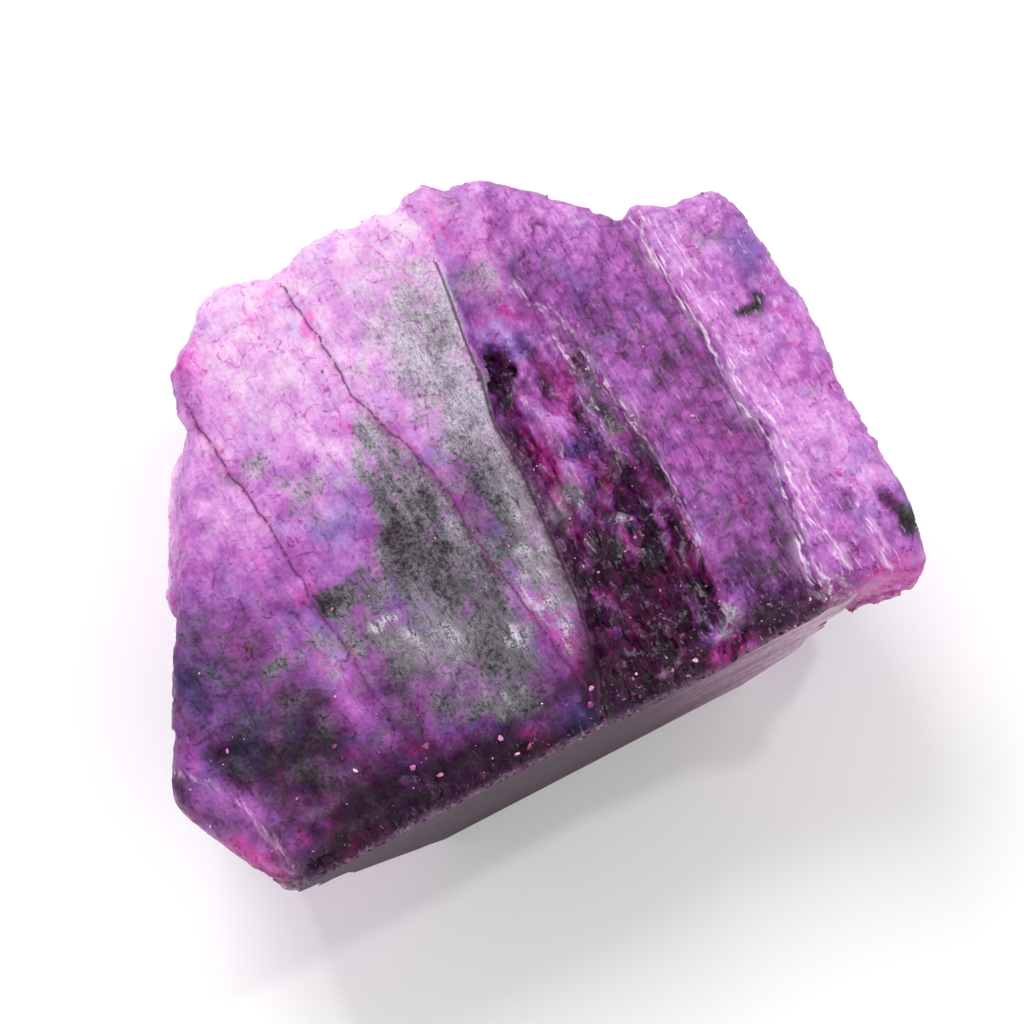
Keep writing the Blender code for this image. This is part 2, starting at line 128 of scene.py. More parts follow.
# %% Steps and mounds
# How far each sheet's edge steps, as (up, step) from front to back.
GREY_DROP = [(-15.0, 0.4), (-10.5, 1.4), (-5.0, 2.1), (10.0, 2.2), (14.0, 1.6), (18.0, 0.7), (22.0, 0.2)]
GREY_WALL = [(-8.0, 0.9), (-2.0, 1.5), (3.0, 1.3), (7.0, 0.6)]  # how wide the drop is
SATIN_RISE = [(-7.0, 1.5), (-2.0, 2.2), (8.0, 2.4), (13.0, 1.7), (16.0, 0.9), (20.0, 0.3)]
RIDGE_RISE = [(-5.0, 1.3), (6.0, 1.2), (21.0, 0.8)]

# Pits (negative) and lumps of the top: across, up, half width, half length, height.
MOUNDS = [
    (-3.2, 11.3, 1.0, 0.8, -0.8), (-2.5, 7.7, 0.9, 0.7, -0.6), (-1.8, 12.8, 1.2, 1.0, 0.7),
    (1.8, 7.0, 1.3, 1.2, 0.7), (4.2, 3.4, 1.1, 1.3, 0.6), (6.4, -3.4, 3.2, 6.0, -1.3),
    (5.7, -1.3, 2.2, 2.2, 1.4), (7.8, -8.0, 1.4, 2.2, 1.0), (11.0, -6.2, 1.5, 1.2, 0.6),
    (-4.7, 17.2, 1.6, 1.6, 0.35),
]
heights = [height for *_, height in MOUNDS]
print("the highest mound and the deepest pit, in mm:", max(heights), min(heights))

# %% The shoulder and the bevels
# The broken shoulder above the sawn wall: its width and fall, and its foot and end bevels.
SHOULDER_WIDTH = [(-17.0, 2.5), (-12.0, 5.0), (-2.0, 5.5), (4.0, 4.5), (12.0, 5.0), (18.0, 3.0)]
SHOULDER_FALL = [(-17.0, 2.6), (-12.0, 1.8), (4.0, 1.6), (10.0, 2.4), (18.0, 2.2)]
SHOULDER_FOOT = [(-17.0, -23.5), (19.5, -4.6)]
LEFT_BEVEL = [(-26.0, -15.0), (-21.9, -16.1), (-19.4, -18.2), (-16.0, -22.7)]
RIGHT_BREAK = [(19.2, -3.6), (21.5, -2.4), (26.0, -1.9)]
print("the shoulder's length, in mm:", round(math.dist(*SHOULDER_FOOT), 1))

# %% The broken sides of the blank
# Flat faces of the sides and the underside, as (a point on the face, its outward direction).
SIDE_FACES = [
    ((-12.8, -18.4, 6.8), (-0.494, -0.692, -0.529)),
    ((16.2, -2.0, -0.6), (0.795, -0.332, -0.510)),
    ((-14.5, 20.8, 4.5), (-0.450, 0.750, -0.480)),
    ((18.6, 14.6, 4.4), (0.600, 0.600, -0.530)),
    ((-25.0, 2.0, 6.6), (-0.850, 0.120, -0.510)),
    ((1.0, 25.9, 20.0), (-0.060, 0.995, 0.060)),
    ((6.0, 25.4, 9.0), (0.180, 0.950, -0.250)),
    ((-19.2, 19.8, 18.0), (-0.600, 0.790, -0.120)),
    ((17.9, 17.4, 18.0), (0.850, 0.520, 0.040)),
    ((24.3, 6.0, 16.0), (0.905, 0.420, -0.060)),
    ((-26.2, 3.0, 16.0), (-0.996, 0.080, 0.020)),
]
print("faces of the sides:", len(SIDE_FACES))

# %% [markdown]
# ## Small tools for lines, noise and chips
#
# Most of the stone is described by how far a point lies from a line, so these few functions do
# nearly all the work. Broken rock is chips: each chip is one small flat face with its own tilt, which
# a cell pattern gives.


# %% Lines and strips
def smooth(x):
    """0 below 0, 1 above 1, and an even S between."""
    x = np.clip(x, 0.0, 1.0)
    return x * x * (3.0 - 2.0 * x)


def along(pairs, x):
    """The value at x of a list of (place, value) pairs."""
    return np.interp(x, [p[0] for p in pairs], [p[1] for p in pairs])


def beside(line, s, t):
    """How far points lie to the right of a line that runs from back to front."""
    pairs = [(up, across) for across, up in reversed(line)]
    slant = along(pairs, t + 0.5) - along(pairs, t - 0.5)
    return (s - along(pairs, t)) / np.hypot(1.0, slant)


def above(line, s, t):
    """How far points lie behind a line that runs from left to right."""
    slant = along(line, s + 0.5) - along(line, s - 0.5)
    return (t - along(line, s)) / np.hypot(1.0, slant)


def stretch(t, front, back, ease=1.5):
    """1 between two places along `up`, easing to 0 outside them."""
    return smooth((t - front) / ease + 0.5) * smooth((back - t) / ease + 0.5)


def hump(x, width):
    """1 where x is 0, dying away evenly to either side: about a third is left at `width`."""
    return np.exp(-((x / width) ** 2))


def line_distance(line, s, t):
    """The distance of points from a line of straight stretches, ends included."""
    nearest = np.full(len(s), 1e9)
    for (ax, ay), (bx, by) in zip(line, line[1:]):
        ux, uy = bx - ax, by - ay
        part = np.clip(((s - ax) * ux + (t - ay) * uy) / (ux * ux + uy * uy), 0.0, 1.0)
        nearest = np.minimum(nearest, np.hypot(s - ax - part * ux, t - ay - part * uy))
    return nearest


AT_MIDDLE = np.zeros(1)
print("from the middle of the top to the rim, in mm:", line_distance(RIM_LOOP, AT_MIDDLE, AT_MIDDLE).round(1))


# %% Noise and chips
def fractal(points, size, octaves=3, seed=0.0):
    """Smooth noise of about -1 to 1 whose largest forms are `size` mm."""
    shift = Vector((seed, -seed, 0.5 * seed))
    return np.array([noise.fractal(Vector(p) / size + shift, 1.0, 2.0, octaves) for p in points])


def chips(points, size, seed=0.0):
    """Broken faces about `size` mm wide: each cell is a flat chip with its own height and tilt."""
    heights = np.empty(len(points))
    shift = Vector((seed, seed, -seed))
    half = Vector((0.5, 0.5, 0.5))
    for i, p in enumerate(points):
        place = Vector(p) / size + shift
        heart = noise.voronoi(place)[1][0]
        tilt = noise.cell_vector(heart * 7.3) - half
        heights[i] = 0.6 * (noise.cell(heart * 3.1) - 0.5) + tilt.dot(place - heart)
    return heights


print("heights of three neighbouring chips:", chips(np.diag((0.0, 2.0, 4.0)), 1.5).round(2))


# %% The plan and the world
def to_world(s, t, d):
    """Plan (across, up, out) to world millimetres, before the stone is centred."""
    closing = 1.0 - d / PLAN_REACH
    x = s * closing
    y = t * closing * math.cos(PLAN_LEAN) - d * math.sin(PLAN_LEAN)
    z = TOP_HEIGHT + t * closing * math.sin(PLAN_LEAN) + d * math.cos(PLAN_LEAN)
    return np.column_stack((x, y, z))


def to_plan(points):
    """World millimetres to plan (across, up, out)."""
    x, y, z = points[:, 0], points[:, 1], points[:, 2] - TOP_HEIGHT
    d = z * math.cos(PLAN_LEAN) - y * math.sin(PLAN_LEAN)
    closing = 1.0 - d / PLAN_REACH
    return x / closing, (y * math.cos(PLAN_LEAN) + z * math.sin(PLAN_LEAN)) / closing, d


def saw_direction():
    """Which way the sawn wall faces."""
    level = math.cos(SAW_OVERHANG)
    return Vector((math.sin(SAW_TURN) * level, -math.cos(SAW_TURN) * level, -math.sin(SAW_OVERHANG)))


print("the sawn wall faces", [round(part, 2) for part in saw_direction()])

# %% [markdown]
# ## The relief of the top
#
# Left of the grey ledge two wide sheets lie almost level, split by two hairline cracks. The ledge
# drops about two millimetres into the trough, where the rock tore along its grain and left a rib,
# pits and splinters. Then the satin sheet rises, and a bright ridge steps up to the last sheet on the
# right. In front the surface falls over a broken shoulder to the sawn wall. Each step here is an even S
# across its line, as high as the lists above say.


# %% Sheets
def sheets(s, t):
    """The stepped sheets of the top and the trough between them."""
    left, long = beside(LEFT_CRACK, s, t), beside(LONG_CRACK, s, t)
    grey, satin = beside(GREY_LEDGE, s, t), beside(SATIN_EDGE, s, t)
    ridge = beside(BRIGHT_RIDGE, s, t)
    height = -0.25 * smooth(-left / 0.5) - 0.055 * np.clip(-left, 0.0, None)
    height += 0.25 * smooth(long / 0.6) + 0.35 * hump(grey + 0.7, 0.9) * stretch(t, -9.0, 12.0)
    height -= along(GREY_DROP, t) * smooth(grey / along(GREY_WALL, t))
    rise = along(SATIN_RISE, t)
    splinter = beside(SPLINTER_STEP, s, t)
    first = 0.55 * stretch(t, 4.5, 14.5)
    height += rise * first * smooth(splinter / 0.5 + 0.5)
    height += rise * (1.0 - first) * smooth(satin / 0.7 + 0.5)
    height += 0.25 * smooth(satin / 4.0) - 0.25 * smooth((ridge + 3.0) / 3.0)
    height += along(RIDGE_RISE, t) * smooth(ridge / 0.9 + 0.3)
    height += 0.35 * smooth(beside(SIDE_RIDGE, s, t) / 0.5) * stretch(t, -3.0, 3.2)
    height -= 0.3 * smooth(beside(LAST_RIDGE, s, t) / 0.5) * stretch(t, -3.0, 3.2)
    rib = beside(ROUND_RIB, s, t)
    height += 0.9 * hump(rib, 0.85) * stretch(t, -1.0, 9.6)
    return height


above_below = sheets(np.array([-2.5, 2.5]), np.array([3.0, 3.0]))
print(f"the grey ledge drops {above_below[0] - above_below[1]:.1f} mm")


# %% Mounds, shoulder and bevels
def edges_and_mounds(s, t):
    """The mounds and pits, the fallen shoulder in front, and the bevels at its two ends."""
    height = np.zeros(len(s))
    for across, up, half_width, half_length, tall in MOUNDS:
        away = ((s - across) / half_width) ** 2 + ((t - up) / half_length) ** 2
        height += tall * np.exp(-away)
    foot = above(SHOULDER_FOOT, s, t)
    height -= along(SHOULDER_FALL, s) * (1.0 - smooth(foot / along(SHOULDER_WIDTH, s))) ** 1.3
    height -= 0.35 * np.clip(-foot, 0.0, 4.0)
    bevel = above(LEFT_BEVEL, s, t)
    height -= 0.95 * np.clip(-bevel, 0.0, 5.0) * smooth((-13.0 - s) / 2.0)
    end = above(RIGHT_BREAK, s, t)
    height -= 1.8 * np.clip(-end, 0.0, 3.0) * smooth((s - 18.2) / 1.0)
    return height


print("the front edge lies lower, in mm:", -edges_and_mounds(AT_MIDDLE, AT_MIDDLE - 14.5).round(1))


# %% Where the rock is broken
def trough_share(s, t):
    """1 in the trough between the grey ledge and the satin sheet, 0 outside it."""
    trough = smooth(beside(GREY_LEDGE, s, t) / 0.8) * smooth(-beside(SATIN_EDGE, s, t) / 0.8 + 0.8)
    return trough * smooth((16.5 - t) / 4.0)


def shoulder_share(s, t):
    """1 at the foot of the shoulder, 0 behind it."""
    return 1.0 - smooth(above(SHOULDER_FOOT, s, t) / along(SHOULDER_WIDTH, s))


def broken_share(s, t):
    """How much of the surface is broken up into chips: the trough and the shoulder."""
    return np.clip(0.25 + 0.75 * np.maximum(trough_share(s, t), shoulder_share(s, t)), 0.0, 1.0)


print("broken share in the trough and left of it:", broken_share(np.array([5.0, -9.0]), np.zeros(2)).round(2))


# %% The relief of a point
def relief(points, s, t):
    """The height of the top above its slope."""
    height = sheets(s, t) + edges_and_mounds(s, t)
    height += 0.3 * fractal(points, 9.0, seed=3.0)
    height += 0.55 * broken_share(s, t) * chips(points, 2.4, seed=11.0)
    rounding = 1.0 + 0.35 * fractal(points, 4.0, seed=5.0)
    inside = np.clip(line_distance(RIM_LOOP, s, t) / rounding, 0.0, 1.0)
    height -= rounding * (1.0 - np.sqrt(1.0 - (1.0 - inside) ** 2))
    return height


print("relief in the middle of the top, in mm:", relief(np.zeros((1, 3)), AT_MIDDLE, AT_MIDDLE).round(1))

# %% [markdown]
# ## The broken sides
#
# The sides broke across the upright sheets, so they show them as tall narrow steps, crossed by wide
# shallow hollows and smaller chips. Nothing is taken off near the rim, which the top's edge sets.


# %% Steps and hollows of the sides
def sheet_steps(points, s, t):
    """From 0 to 1, how far each upright sheet stands back where the sides break across the sheets."""
    counted = (0.87 * s + 0.5 * t + 0.9 * fractal(points, 8.0, seed=31.0)) / SHEET_THICKNESS
    whole = np.floor(counted)
    here = np.array([noise.cell(Vector((n, 4.7, 9.1))) for n in whole])
    after = np.array([noise.cell(Vector((n + 1.0, 4.7, 9.1))) for n in whole])
    return here + (after - here) * smooth((counted - whole - 0.8) / 0.2)


def side_hollows(points, s, t, below):
    """How far the broken sides lie inside the blank: wide hollows, sheets and chips."""
    hollow = 0.45 * (1.0 + fractal(points, 12.0, seed=21.0))
    hollow += 0.8 * sheet_steps(points, s, t)
    hollow += 1.0 * (0.5 + chips(points, 7.0, seed=2.0))
    hollow += 0.4 * (0.5 + chips(points, 3.0, seed=8.0))
    # What lies in front of the saw cut is left whole, for the saw to take away.
    waste = smooth(points @ np.array(saw_direction()) - SAW_OFFSET - 1.0)
    return np.clip(hollow, 0.0, None) * smooth((below - 0.6) / 3.0) * (1.0 - waste)


# %% Moving the blank's points
def shape_stone(points, normals):
    """Moves the blank's points, in mm, to the stone's surface."""
    s, t, d = to_plan(points)
    below = -TOP_FALL * t - d
    lift = relief(points, s, t) * (1.0 - smooth(below / RELIEF_FADE))
    narrowing = 1.0 - SIDE_TAPER * np.clip(below, 0.0, None)
    # A soft bulge below the rim, on the left.
    bulge = 1.2 * stretch(t, -5.5, 6.0, ease=4.0) * smooth((below - 1.0) / 4.0) * smooth(-s - 22.0)
    bulge = bulge * (1.0 - smooth((below - 9.0) / 6.0))
    shaped = to_world(s * narrowing - bulge, t * narrowing, d + lift)
    outward = np.array((0.0, -math.sin(PLAN_LEAN), math.cos(PLAN_LEAN)))
    steep = smooth((0.85 - np.abs(normals @ outward)) / 0.4)
    return shaped - normals * (side_hollows(points, s, t, below) * steep * (1.0 - smooth(bulge)))[:, None]


moved = shape_stone(np.array([(-25.0, 0.0, 10.0)]), np.array([(-1.0, 0.0, 0.0)]))
print("a point of the left side moves to", moved.round(1))

# %% [markdown]
# ## Cutting the blank, and sawing the stone
#
# The rim is drawn as a flat outline, given its depth and mapped onto the leaning plan, and the flat
# top and side faces are cut from it. A voxel remesh then gives even faces fine enough to carry the
# relief, and a second one melts the folds that the relief made. The two saw cuts come last, so their
# faces stay quite flat. The front cut is a Boolean with a slab that ends early, since the saw stopped
# short of the right end and the last of the stone broke off there.


# %% Flat cuts and even faces
def cut_flat(bm, point, direction):
    """Saws off what lies beyond a plane, given in mm, and closes the cut with one flat face."""
    bmesh.ops.bisect_plane(
        bm,
        geom=bm.verts[:] + bm.edges[:] + bm.faces[:],
        dist=1e-8,
        plane_co=Vector(point) * MM,
        plane_no=Vector(direction).normalized(),
        clear_outer=True,
    )
    bmesh.ops.holes_fill(bm, edges=[edge for edge in bm.edges if edge.is_boundary], sides=0)
    bmesh.ops.recalc_face_normals(bm, faces=bm.faces[:])


def as_mesh(item):
    """The object's evaluated mesh, with its modifiers applied."""
    item_now = item.evaluated_get(bpy.context.evaluated_depsgraph_get())
    return bpy.data.meshes.new_from_object(item_now)


def add_object(name, mesh):
    """Puts a mesh or a curve into the scene."""
    item = bpy.data.objects.new(name, mesh)
    bpy.context.scene.collection.objects.link(item)
    return item


def even_out(item, voxel):
    """Rebuilds the surface from even faces, `voxel` mm wide, which also melts any folds away."""
    remesh = item.modifiers.new("even_faces", "REMESH")
    remesh.mode = "VOXEL"
    remesh.voxel_size = voxel * MM
    mesh = as_mesh(item)
    item.modifiers.clear()
    item.data = mesh


# %% The blank
def make_blank():
    """The rim drawn as a flat outline, given its depth, and trimmed by the flat top and side faces."""
    outline = bpy.data.curves.new("rim_outline", "CURVE")
    outline.dimensions = "2D"
    outline.fill_mode = "BOTH"
    outline.extrude = BLANK_DEPTH / 2
    spline = outline.splines.new("POLY")
    spline.points.add(len(RIM) - 1)
    for point, (across, up) in zip(spline.points, RIM):
        point.co = (across, up, 0.0, 1.0)
    spline.use_cyclic_u = True
    sketch = add_object("rim_outline", outline)
    mesh = as_mesh(sketch)
    bpy.data.objects.remove(sketch)

    bm = bmesh.new()
    bm.from_mesh(mesh)
    bmesh.ops.remove_doubles(bm, verts=bm.verts[:], dist=1e-5)
    plan = np.array([vertex.co[:] for vertex in bm.verts])
    placed = to_world(plan[:, 0], plan[:, 1], plan[:, 2] + BLANK_TOP - BLANK_DEPTH / 2)
    for vertex, place in zip(bm.verts, placed):
        vertex.co = Vector(place) * MM
    bmesh.ops.recalc_face_normals(bm, faces=bm.faces[:])
    fall = PLAN_LEAN - math.atan(TOP_FALL)
    cut_flat(bm, (0.0, 0.0, TOP_HEIGHT), (0.0, -math.sin(fall), math.cos(fall)))
    for point, direction in SIDE_FACES:
        cut_flat(bm, point, direction)
    cut_flat(bm, (0.0, 0.0, -2.0), (0.0, 0.0, -1.0))
    bm.to_mesh(mesh)
    bm.free()
    return mesh


skin = add_object("stone_skin", make_blank())
print("flat faces of the blank:", len(skin.data.polygons))


# %% The saw cut in front
def saw_front(item):
    """Takes the slab off the front: its inner side is the sawn wall."""
    bm = bmesh.new()
    length, thickness, height = (side * MM for side in SAW_SLAB)
    place = Vector((SAW_END * MM - length / 2, -SAW_OFFSET * MM - thickness / 2, 0.0))
    bmesh.ops.create_cube(bm, size=1.0, matrix=Matrix.LocRotScale(place, None, (length, thickness, height)))
    mesh = bpy.data.meshes.new("saw_slab")
    bm.to_mesh(mesh)
    bm.free()
    slab = add_object("saw_slab", mesh)
    slab.rotation_euler = (SAW_OVERHANG, 0.0, SAW_TURN)
    cut = item.modifiers.new("front_cut", "BOOLEAN")
    cut.operation = "DIFFERENCE"
    cut.solver = "MANIFOLD"
    cut.object = slab
    bpy.context.view_layer.update()
    sawn = as_mesh(item)
    item.modifiers.clear()
    item.data = sawn
    bpy.data.objects.remove(slab)


# %% Points of a mesh
def mesh_points(mesh):
    """The mesh's points in mm, and their normals."""
    points = np.empty(len(mesh.vertices) * 3)
    normals = np.empty(len(mesh.vertices) * 3)
    mesh.vertices.foreach_get("co", points)
    mesh.vertices.foreach_get("normal", normals)
    return points.reshape(-1, 3) / MM, normals.reshape(-1, 3)


def move_points(mesh, points):
    mesh.vertices.foreach_set("co", (points * MM).ravel())
    mesh.update()


corners, _ = mesh_points(skin.data)
print("the blank, in mm:", np.ptp(corners, axis=0).round(1))

# %% Making the skin
# The first voxels are a little wider, because the second remesh sets the faces that stay.
even_out(skin, 1.2 * FINE_VOXEL)
move_points(skin.data, shape_stone(*mesh_points(skin.data)))
even_out(skin, FINE_VOXEL)
saw_front(skin)
bm = bmesh.new()
bm.from_mesh(skin.data)
cut_flat(bm, (0.0, 0.0, 0.0), (0.0, 0.0, -1.0))
bmesh.ops.triangulate(bm, faces=[face for face in bm.faces if len(face.verts) > 4])
bm.to_mesh(skin.data)
bm.free()
print("triangles of the skin:", sum(len(face.vertices) - 2 for face in skin.data.polygons))

# %% [markdown]
# ## Finer chips, splinters and grain
#
# What the solid leaves out is added here, along the surface: chips one to two millimetres wide where
# the rock is broken, splinters drawn out along the grain in the trough, and a faint waxy waviness
# everywhere else. The sawn faces keep their points. How deep a point lies in this fine relief is kept,
# because dye collects in hollows and wears off crests.

# %% Where each point lies
points, normals = mesh_points(skin.data)
s, t, d = to_plan(points)
below = -TOP_FALL * t - d
on_top = 1.0 - smooth((below - 3.5) / 4.0)
sawn_gap = np.minimum(np.abs(points @ np.array(saw_direction()) - SAW_OFFSET), points[:, 2])
free = smooth((sawn_gap - 0.02) / 0.4)

trough = trough_share(s, t) * on_top
shoulder = shoulder_share(s, t) * on_top
broken = np.clip(np.maximum(trough, shoulder) + 0.45 * (1.0 - on_top), 0.0, 1.0)

left_side, long_side = beside(LEFT_CRACK, s, t), beside(LONG_CRACK, s, t)
grey_side, satin_side = beside(GREY_LEDGE, s, t), beside(SATIN_EDGE, s, t)
ridge_side = beside(BRIGHT_RIDGE, s, t)
print(f"share of points in the trough: {trough.mean():.1%}")

# %% Splinters along the grain
GRAIN_TURN = math.radians(-60.0)  # the rock's grain runs from the back left to the front right
across_grain = t * math.cos(GRAIN_TURN) - s * math.sin(GRAIN_TURN)
along_grain = s * math.cos(GRAIN_TURN) + t * math.sin(GRAIN_TURN)


def splinters(width, length, seed):
    """Noise drawn out along the grain: `width` mm across it and `length` mm along it."""
    squeezed = np.column_stack((across_grain / width, along_grain / length, d / (0.5 * length)))
    return fractal(squeezed, 1.0, octaves=3, seed=seed)


chipped = 0.4 * chips(points, 1.7, seed=17.0) + 0.18 * chips(points, 0.9, seed=23.0)
torn = 0.35 - np.abs(splinters(1.3, 5.5, seed=47.0))
print(f"deepest chips and splinters: {np.ptp(chipped):.1f} and {np.ptp(torn):.1f} mm")

# %% Fine relief
# The back of the trough is chipped less than its front, and torn in streaks along the grain.
torn_top = smooth(grey_side / 0.8) * smooth(-satin_side / 0.8 + 0.8) * smooth((t - 13.0) / 3.0) * on_top
streaked = trough * smooth((t - 0.5) / 3.0)
fine = chipped * np.maximum(broken - 0.2 * trough - 0.3 * streaked, 0.4 * torn_top) + 0.55 * trough * torn
fine += 0.035 * fractal(points, 1.6, seed=41.0)

# The rim, the deep pit below the ledge and the ledge's own wall broke into smaller chips.
at_rim = hump(line_distance(RIM_LOOP, s, t), 1.1) * smooth((6.0 - below) / 4.0)
fine += 0.22 * at_rim * chips(points, 1.3, seed=19.0)
in_pit = hump(s + 3.2, 1.5) * hump(t - 11.2, 1.3)
fine += in_pit * (0.3 + 0.9 * chips(points, 0.9, seed=29.0))
fine += 0.09 * splinters(0.6, 5.0, seed=43.0) * (1.0 - 0.5 * broken)
on_ledge_wall = smooth(grey_side / 0.3) * smooth((1.9 - grey_side) / 0.6) * stretch(t, -9.0, 12.0) * on_top
fine += 0.4 * on_ledge_wall * chips(points, 0.8, seed=37.0)
move_points(skin.data, points + normals * (fine * free)[:, None])
print(f"finer relief: from {(fine * free).min():.2f} to {(fine * free).max():.2f} mm")

# %% [markdown]
# ## Where the dye, the dust and the stains lie
#
# Dyed rock takes its colour unevenly: open, broken grain drinks the dye and turns nearly black, tight
# grain stays pink or almost white. Here and there the dye turned bluer or redder, and where the stone
# was handled and scuffed, its surface is crushed to a grey powder. Each list holds soft ovals on the
# plan: across, up, half length, half width, the long axis's turn in degrees, and how strong it is.

# %% More and less dye, and two painted highlights
DYE = [
    (-5.1, 4.6, 7.2, 3.0, -62, 0.12), (-7.1, 13.8, 3.9, 2.0, -68, 0.12), (-3.2, -5.3, 4.6, 2.6, -60, 0.05),
    (-23.9, -7.9, 3.9, 1.3, 90, 0.09), (-20.3, 1.2, 1.9, 1.4, 0, -0.1), (-18.6, 4.6, 1.6, 5.0, 90, 0.05),
    (-10.1, 2.6, 4.9, 2.8, 90, 0.1), (-8.4, -1.3, 3.9, 2.6, 0, 0.08), (-17.0, -13.8, 4.4, 3.6, 0, 0.12),
    (-10.7, -17.1, 3.9, 2.0, 28, 0.18), (-4.9, -15.2, 3.0, 1.2, 28, 0.2), (-3.3, 11.2, 1.7, 0.7, -60, 0.14),
    (-2.6, 7.8, 2.0, 0.6, -66, 0.18), (-3.2, 9.5, 1.3, 0.7, -60, 0.2), (3.8, 9.2, 4.1, 0.9, -58, 0.1),
    (6.1, 3.9, 3.9, 1.6, -70, 0.04), (6.1, -3.9, 6.2, 3.4, -72, 0.16), (5.2, -8.6, 3.6, 2.4, 30, 0.2),
    (0.4, -12.6, 3.4, 1.2, 28, -0.14), (9.6, -1.0, 1.2, 3.4, 20, -0.06), (3.4, -1.3, 2.6, 0.8, -80, 0.12),
    (9.3, 16.4, 3.3, 1.2, -60, -0.03), (7.7, 20.7, 3.0, 1.4, -60, -0.02), (17.9, 7.6, 3.0, 2.0, -60, -0.08),
    (18.8, 3.6, 1.6, 1.2, 0, 0.06), (-8.1, 21.7, 2.2, 1.7, 0, -0.05), (-2.9, 12.8, 1.6, 1.0, -30, -0.1),
    (1.5, 6.4, 2.8, 1.0, -60, -0.05), (1.9, 9.8, 1.8, 1.0, -60, 0.08), (6.2, 9.4, 4.6, 1.8, -60, -0.05),
    (-1.4, 16.4, 2.6, 2.0, 0, 0.04), (-3.6, 16.8, 1.8, 1.1, -60, -0.14), (0.8, 20.2, 2.6, 1.6, 0, -0.06),
    (-23.9, 9.9, 1.3, 2.6, 0, 0.16), (-19.9, 13.8, 3.9, 3.0, 0, -0.03), (-13.4, 16.4, 3.6, 2.4, -30, 0.05),
    (-0.9, -4.6, 3.3, 1.1, -60, -0.06), (13.0, 18.4, 3.0, 1.3, -58, 0.08), (12.9, 14.7, 0.8, 0.4, 30, 0.42),
    (13.5, 15.7, 0.9, 0.35, 75, 0.32), (23.5, 1.6, 1.6, 0.6, -65, 0.45), (19.3, 2.8, 0.7, 0.4, 0, 0.2),
    (22.2, 3.1, 0.9, 0.6, -60, 0.25), (20.6, 4.6, 2.2, 1.2, -60, -0.1), (8.7, 11.2, 3.9, 2.0, -60, 0.04),
    (14.3, -1.3, 2.6, 1.4, 0, 0.05), (-19.0, -21.2, 3.9, 0.9, -33, -0.2), (-12.6, -10.6, 4.2, 1.5, -58, -0.1),
    (11.2, -5.6, 2.4, 1.6, 20, -0.1), (-14.2, -7.6, 3.6, 1.7, -58, -0.11), (-7.8, -7.2, 3.3, 1.6, 0, -0.05),
    (-14.7, -3.9, 1.1, 0.7, -60, 0.2), (3.4, -6.6, 0.9, 3.9, 0, 0.04), (9.3, -6.6, 2.6, 1.7, 0, -0.04),
    (12.0, -7.6, 2.4, 0.9, 26, -0.2), (22.5, -3.0, 3.0, 1.1, 20, -0.06), (15.6, -4.6, 4.6, 1.2, 28, 0.1),
    # The ovals at (7.4, -8.7) and (12.0, -5.6) are painted highlights, pale patches where glassy facets of
    # the shoulder catch the light.
    (0.4, 2.6, 2.0, 1.1, -70, -0.16), (7.4, -8.7, 2.5, 0.5, 51, -0.4), (12.0, -5.6, 1.3, 0.6, 90, -0.45),
    (-4.0, 2.2, 4.4, 1.6, -60, 0.12), (-20.3, -9.9, 2.6, 3.9, 0, 0.03), (-20.8, -17.5, 3.0, 1.4, -40, -0.2),
    (-20.6, -6.0, 3.6, 3.0, 0, 0.02), (-23.6, -15.6, 1.2, 2.4, 0, -0.1), (-20.2, -15.2, 1.8, 1.6, 0, 0.08),
]
print("ovals of dye:", len(DYE))

# %% Redder and bluer dye
ROSE = [
    (11.3, -7.6, 2.4, 1.1, 20, 0.9), (22.5, -3.4, 3.0, 1.3, 20, 1.1), (-15.9, 14.3, 1.3, 0.5, -58, 1),
    (2.9, -9.2, 2.0, 0.9, -70, 0.5), (1.4, -6.6, 2.6, 1.8, -60, 0.2), (-20.3, -20.1, 3.9, 1.3, -33, 0.35),
    (-19.3, -21.3, 3.9, 0.6, -33, 0.9), (-8.1, -13.9, 1.2, 0.8, 0, 0.5), (-13.4, -13.9, 0.9, 0.8, 0, 0.4),
    (-1.2, -13.3, 1.4, 0.7, 0, 0.7), (0.3, 4.1, 3.7, 0.7, -60, 0.9), (-14.0, -18.0, 5.0, 2.0, -30, 0.3),
    (3.8, 3.3, 0.8, 0.8, 0, 0.9), (8.0, -1.8, 1.0, 1.0, 0, 0.9), (19.9, -3.9, 2.0, 0.9, 0, 0.7),
    (-7.2, 20.9, 1.7, 1.2, -70, 0.5), (-2.6, 15.0, 0.9, 0.5, 0, 0.7), (-16.3, -3.3, 1.3, 0.8, -60, 0.5),
    (-19.9, 15.1, 3.3, 2.6, 0, 0.3), (12.6, 2.3, 1.3, 0.7, -60, 0.3), (13.0, 6.6, 1.3, 0.9, 0, 0.4),
    (5.4, -5.3, 3.9, 3.0, -70, 0.4), (-23.6, 11.2, 2.0, 0.9, 90, 0.5), (-3.8, 19.1, 2.0, 0.7, -60, 0.4),
    (-13.4, -9.9, 3.9, 2.0, -60, 0.15), (-16.3, -20.4, 2.6, 1.1, 28, 0.5), (-10.4, -20.4, 3.9, 1.2, 28, 0.35),
    (9.3, 9.2, 5.9, 2.6, -60, 0.2), (6.1, 19.1, 3.9, 2.6, 0, 0.15), (17.9, 11.8, 7.9, 3.3, -60, 0.15),
    (0.8, 9.2, 2.6, 0.9, -60, 0.4), (10.0, -1.3, 2.6, 1.3, -60, 0.3), (20.4, 2.6, 3.9, 2.2, -65, 0.1),
    (19.6, -3.6, 3.4, 1.2, 20, 0.6),
]
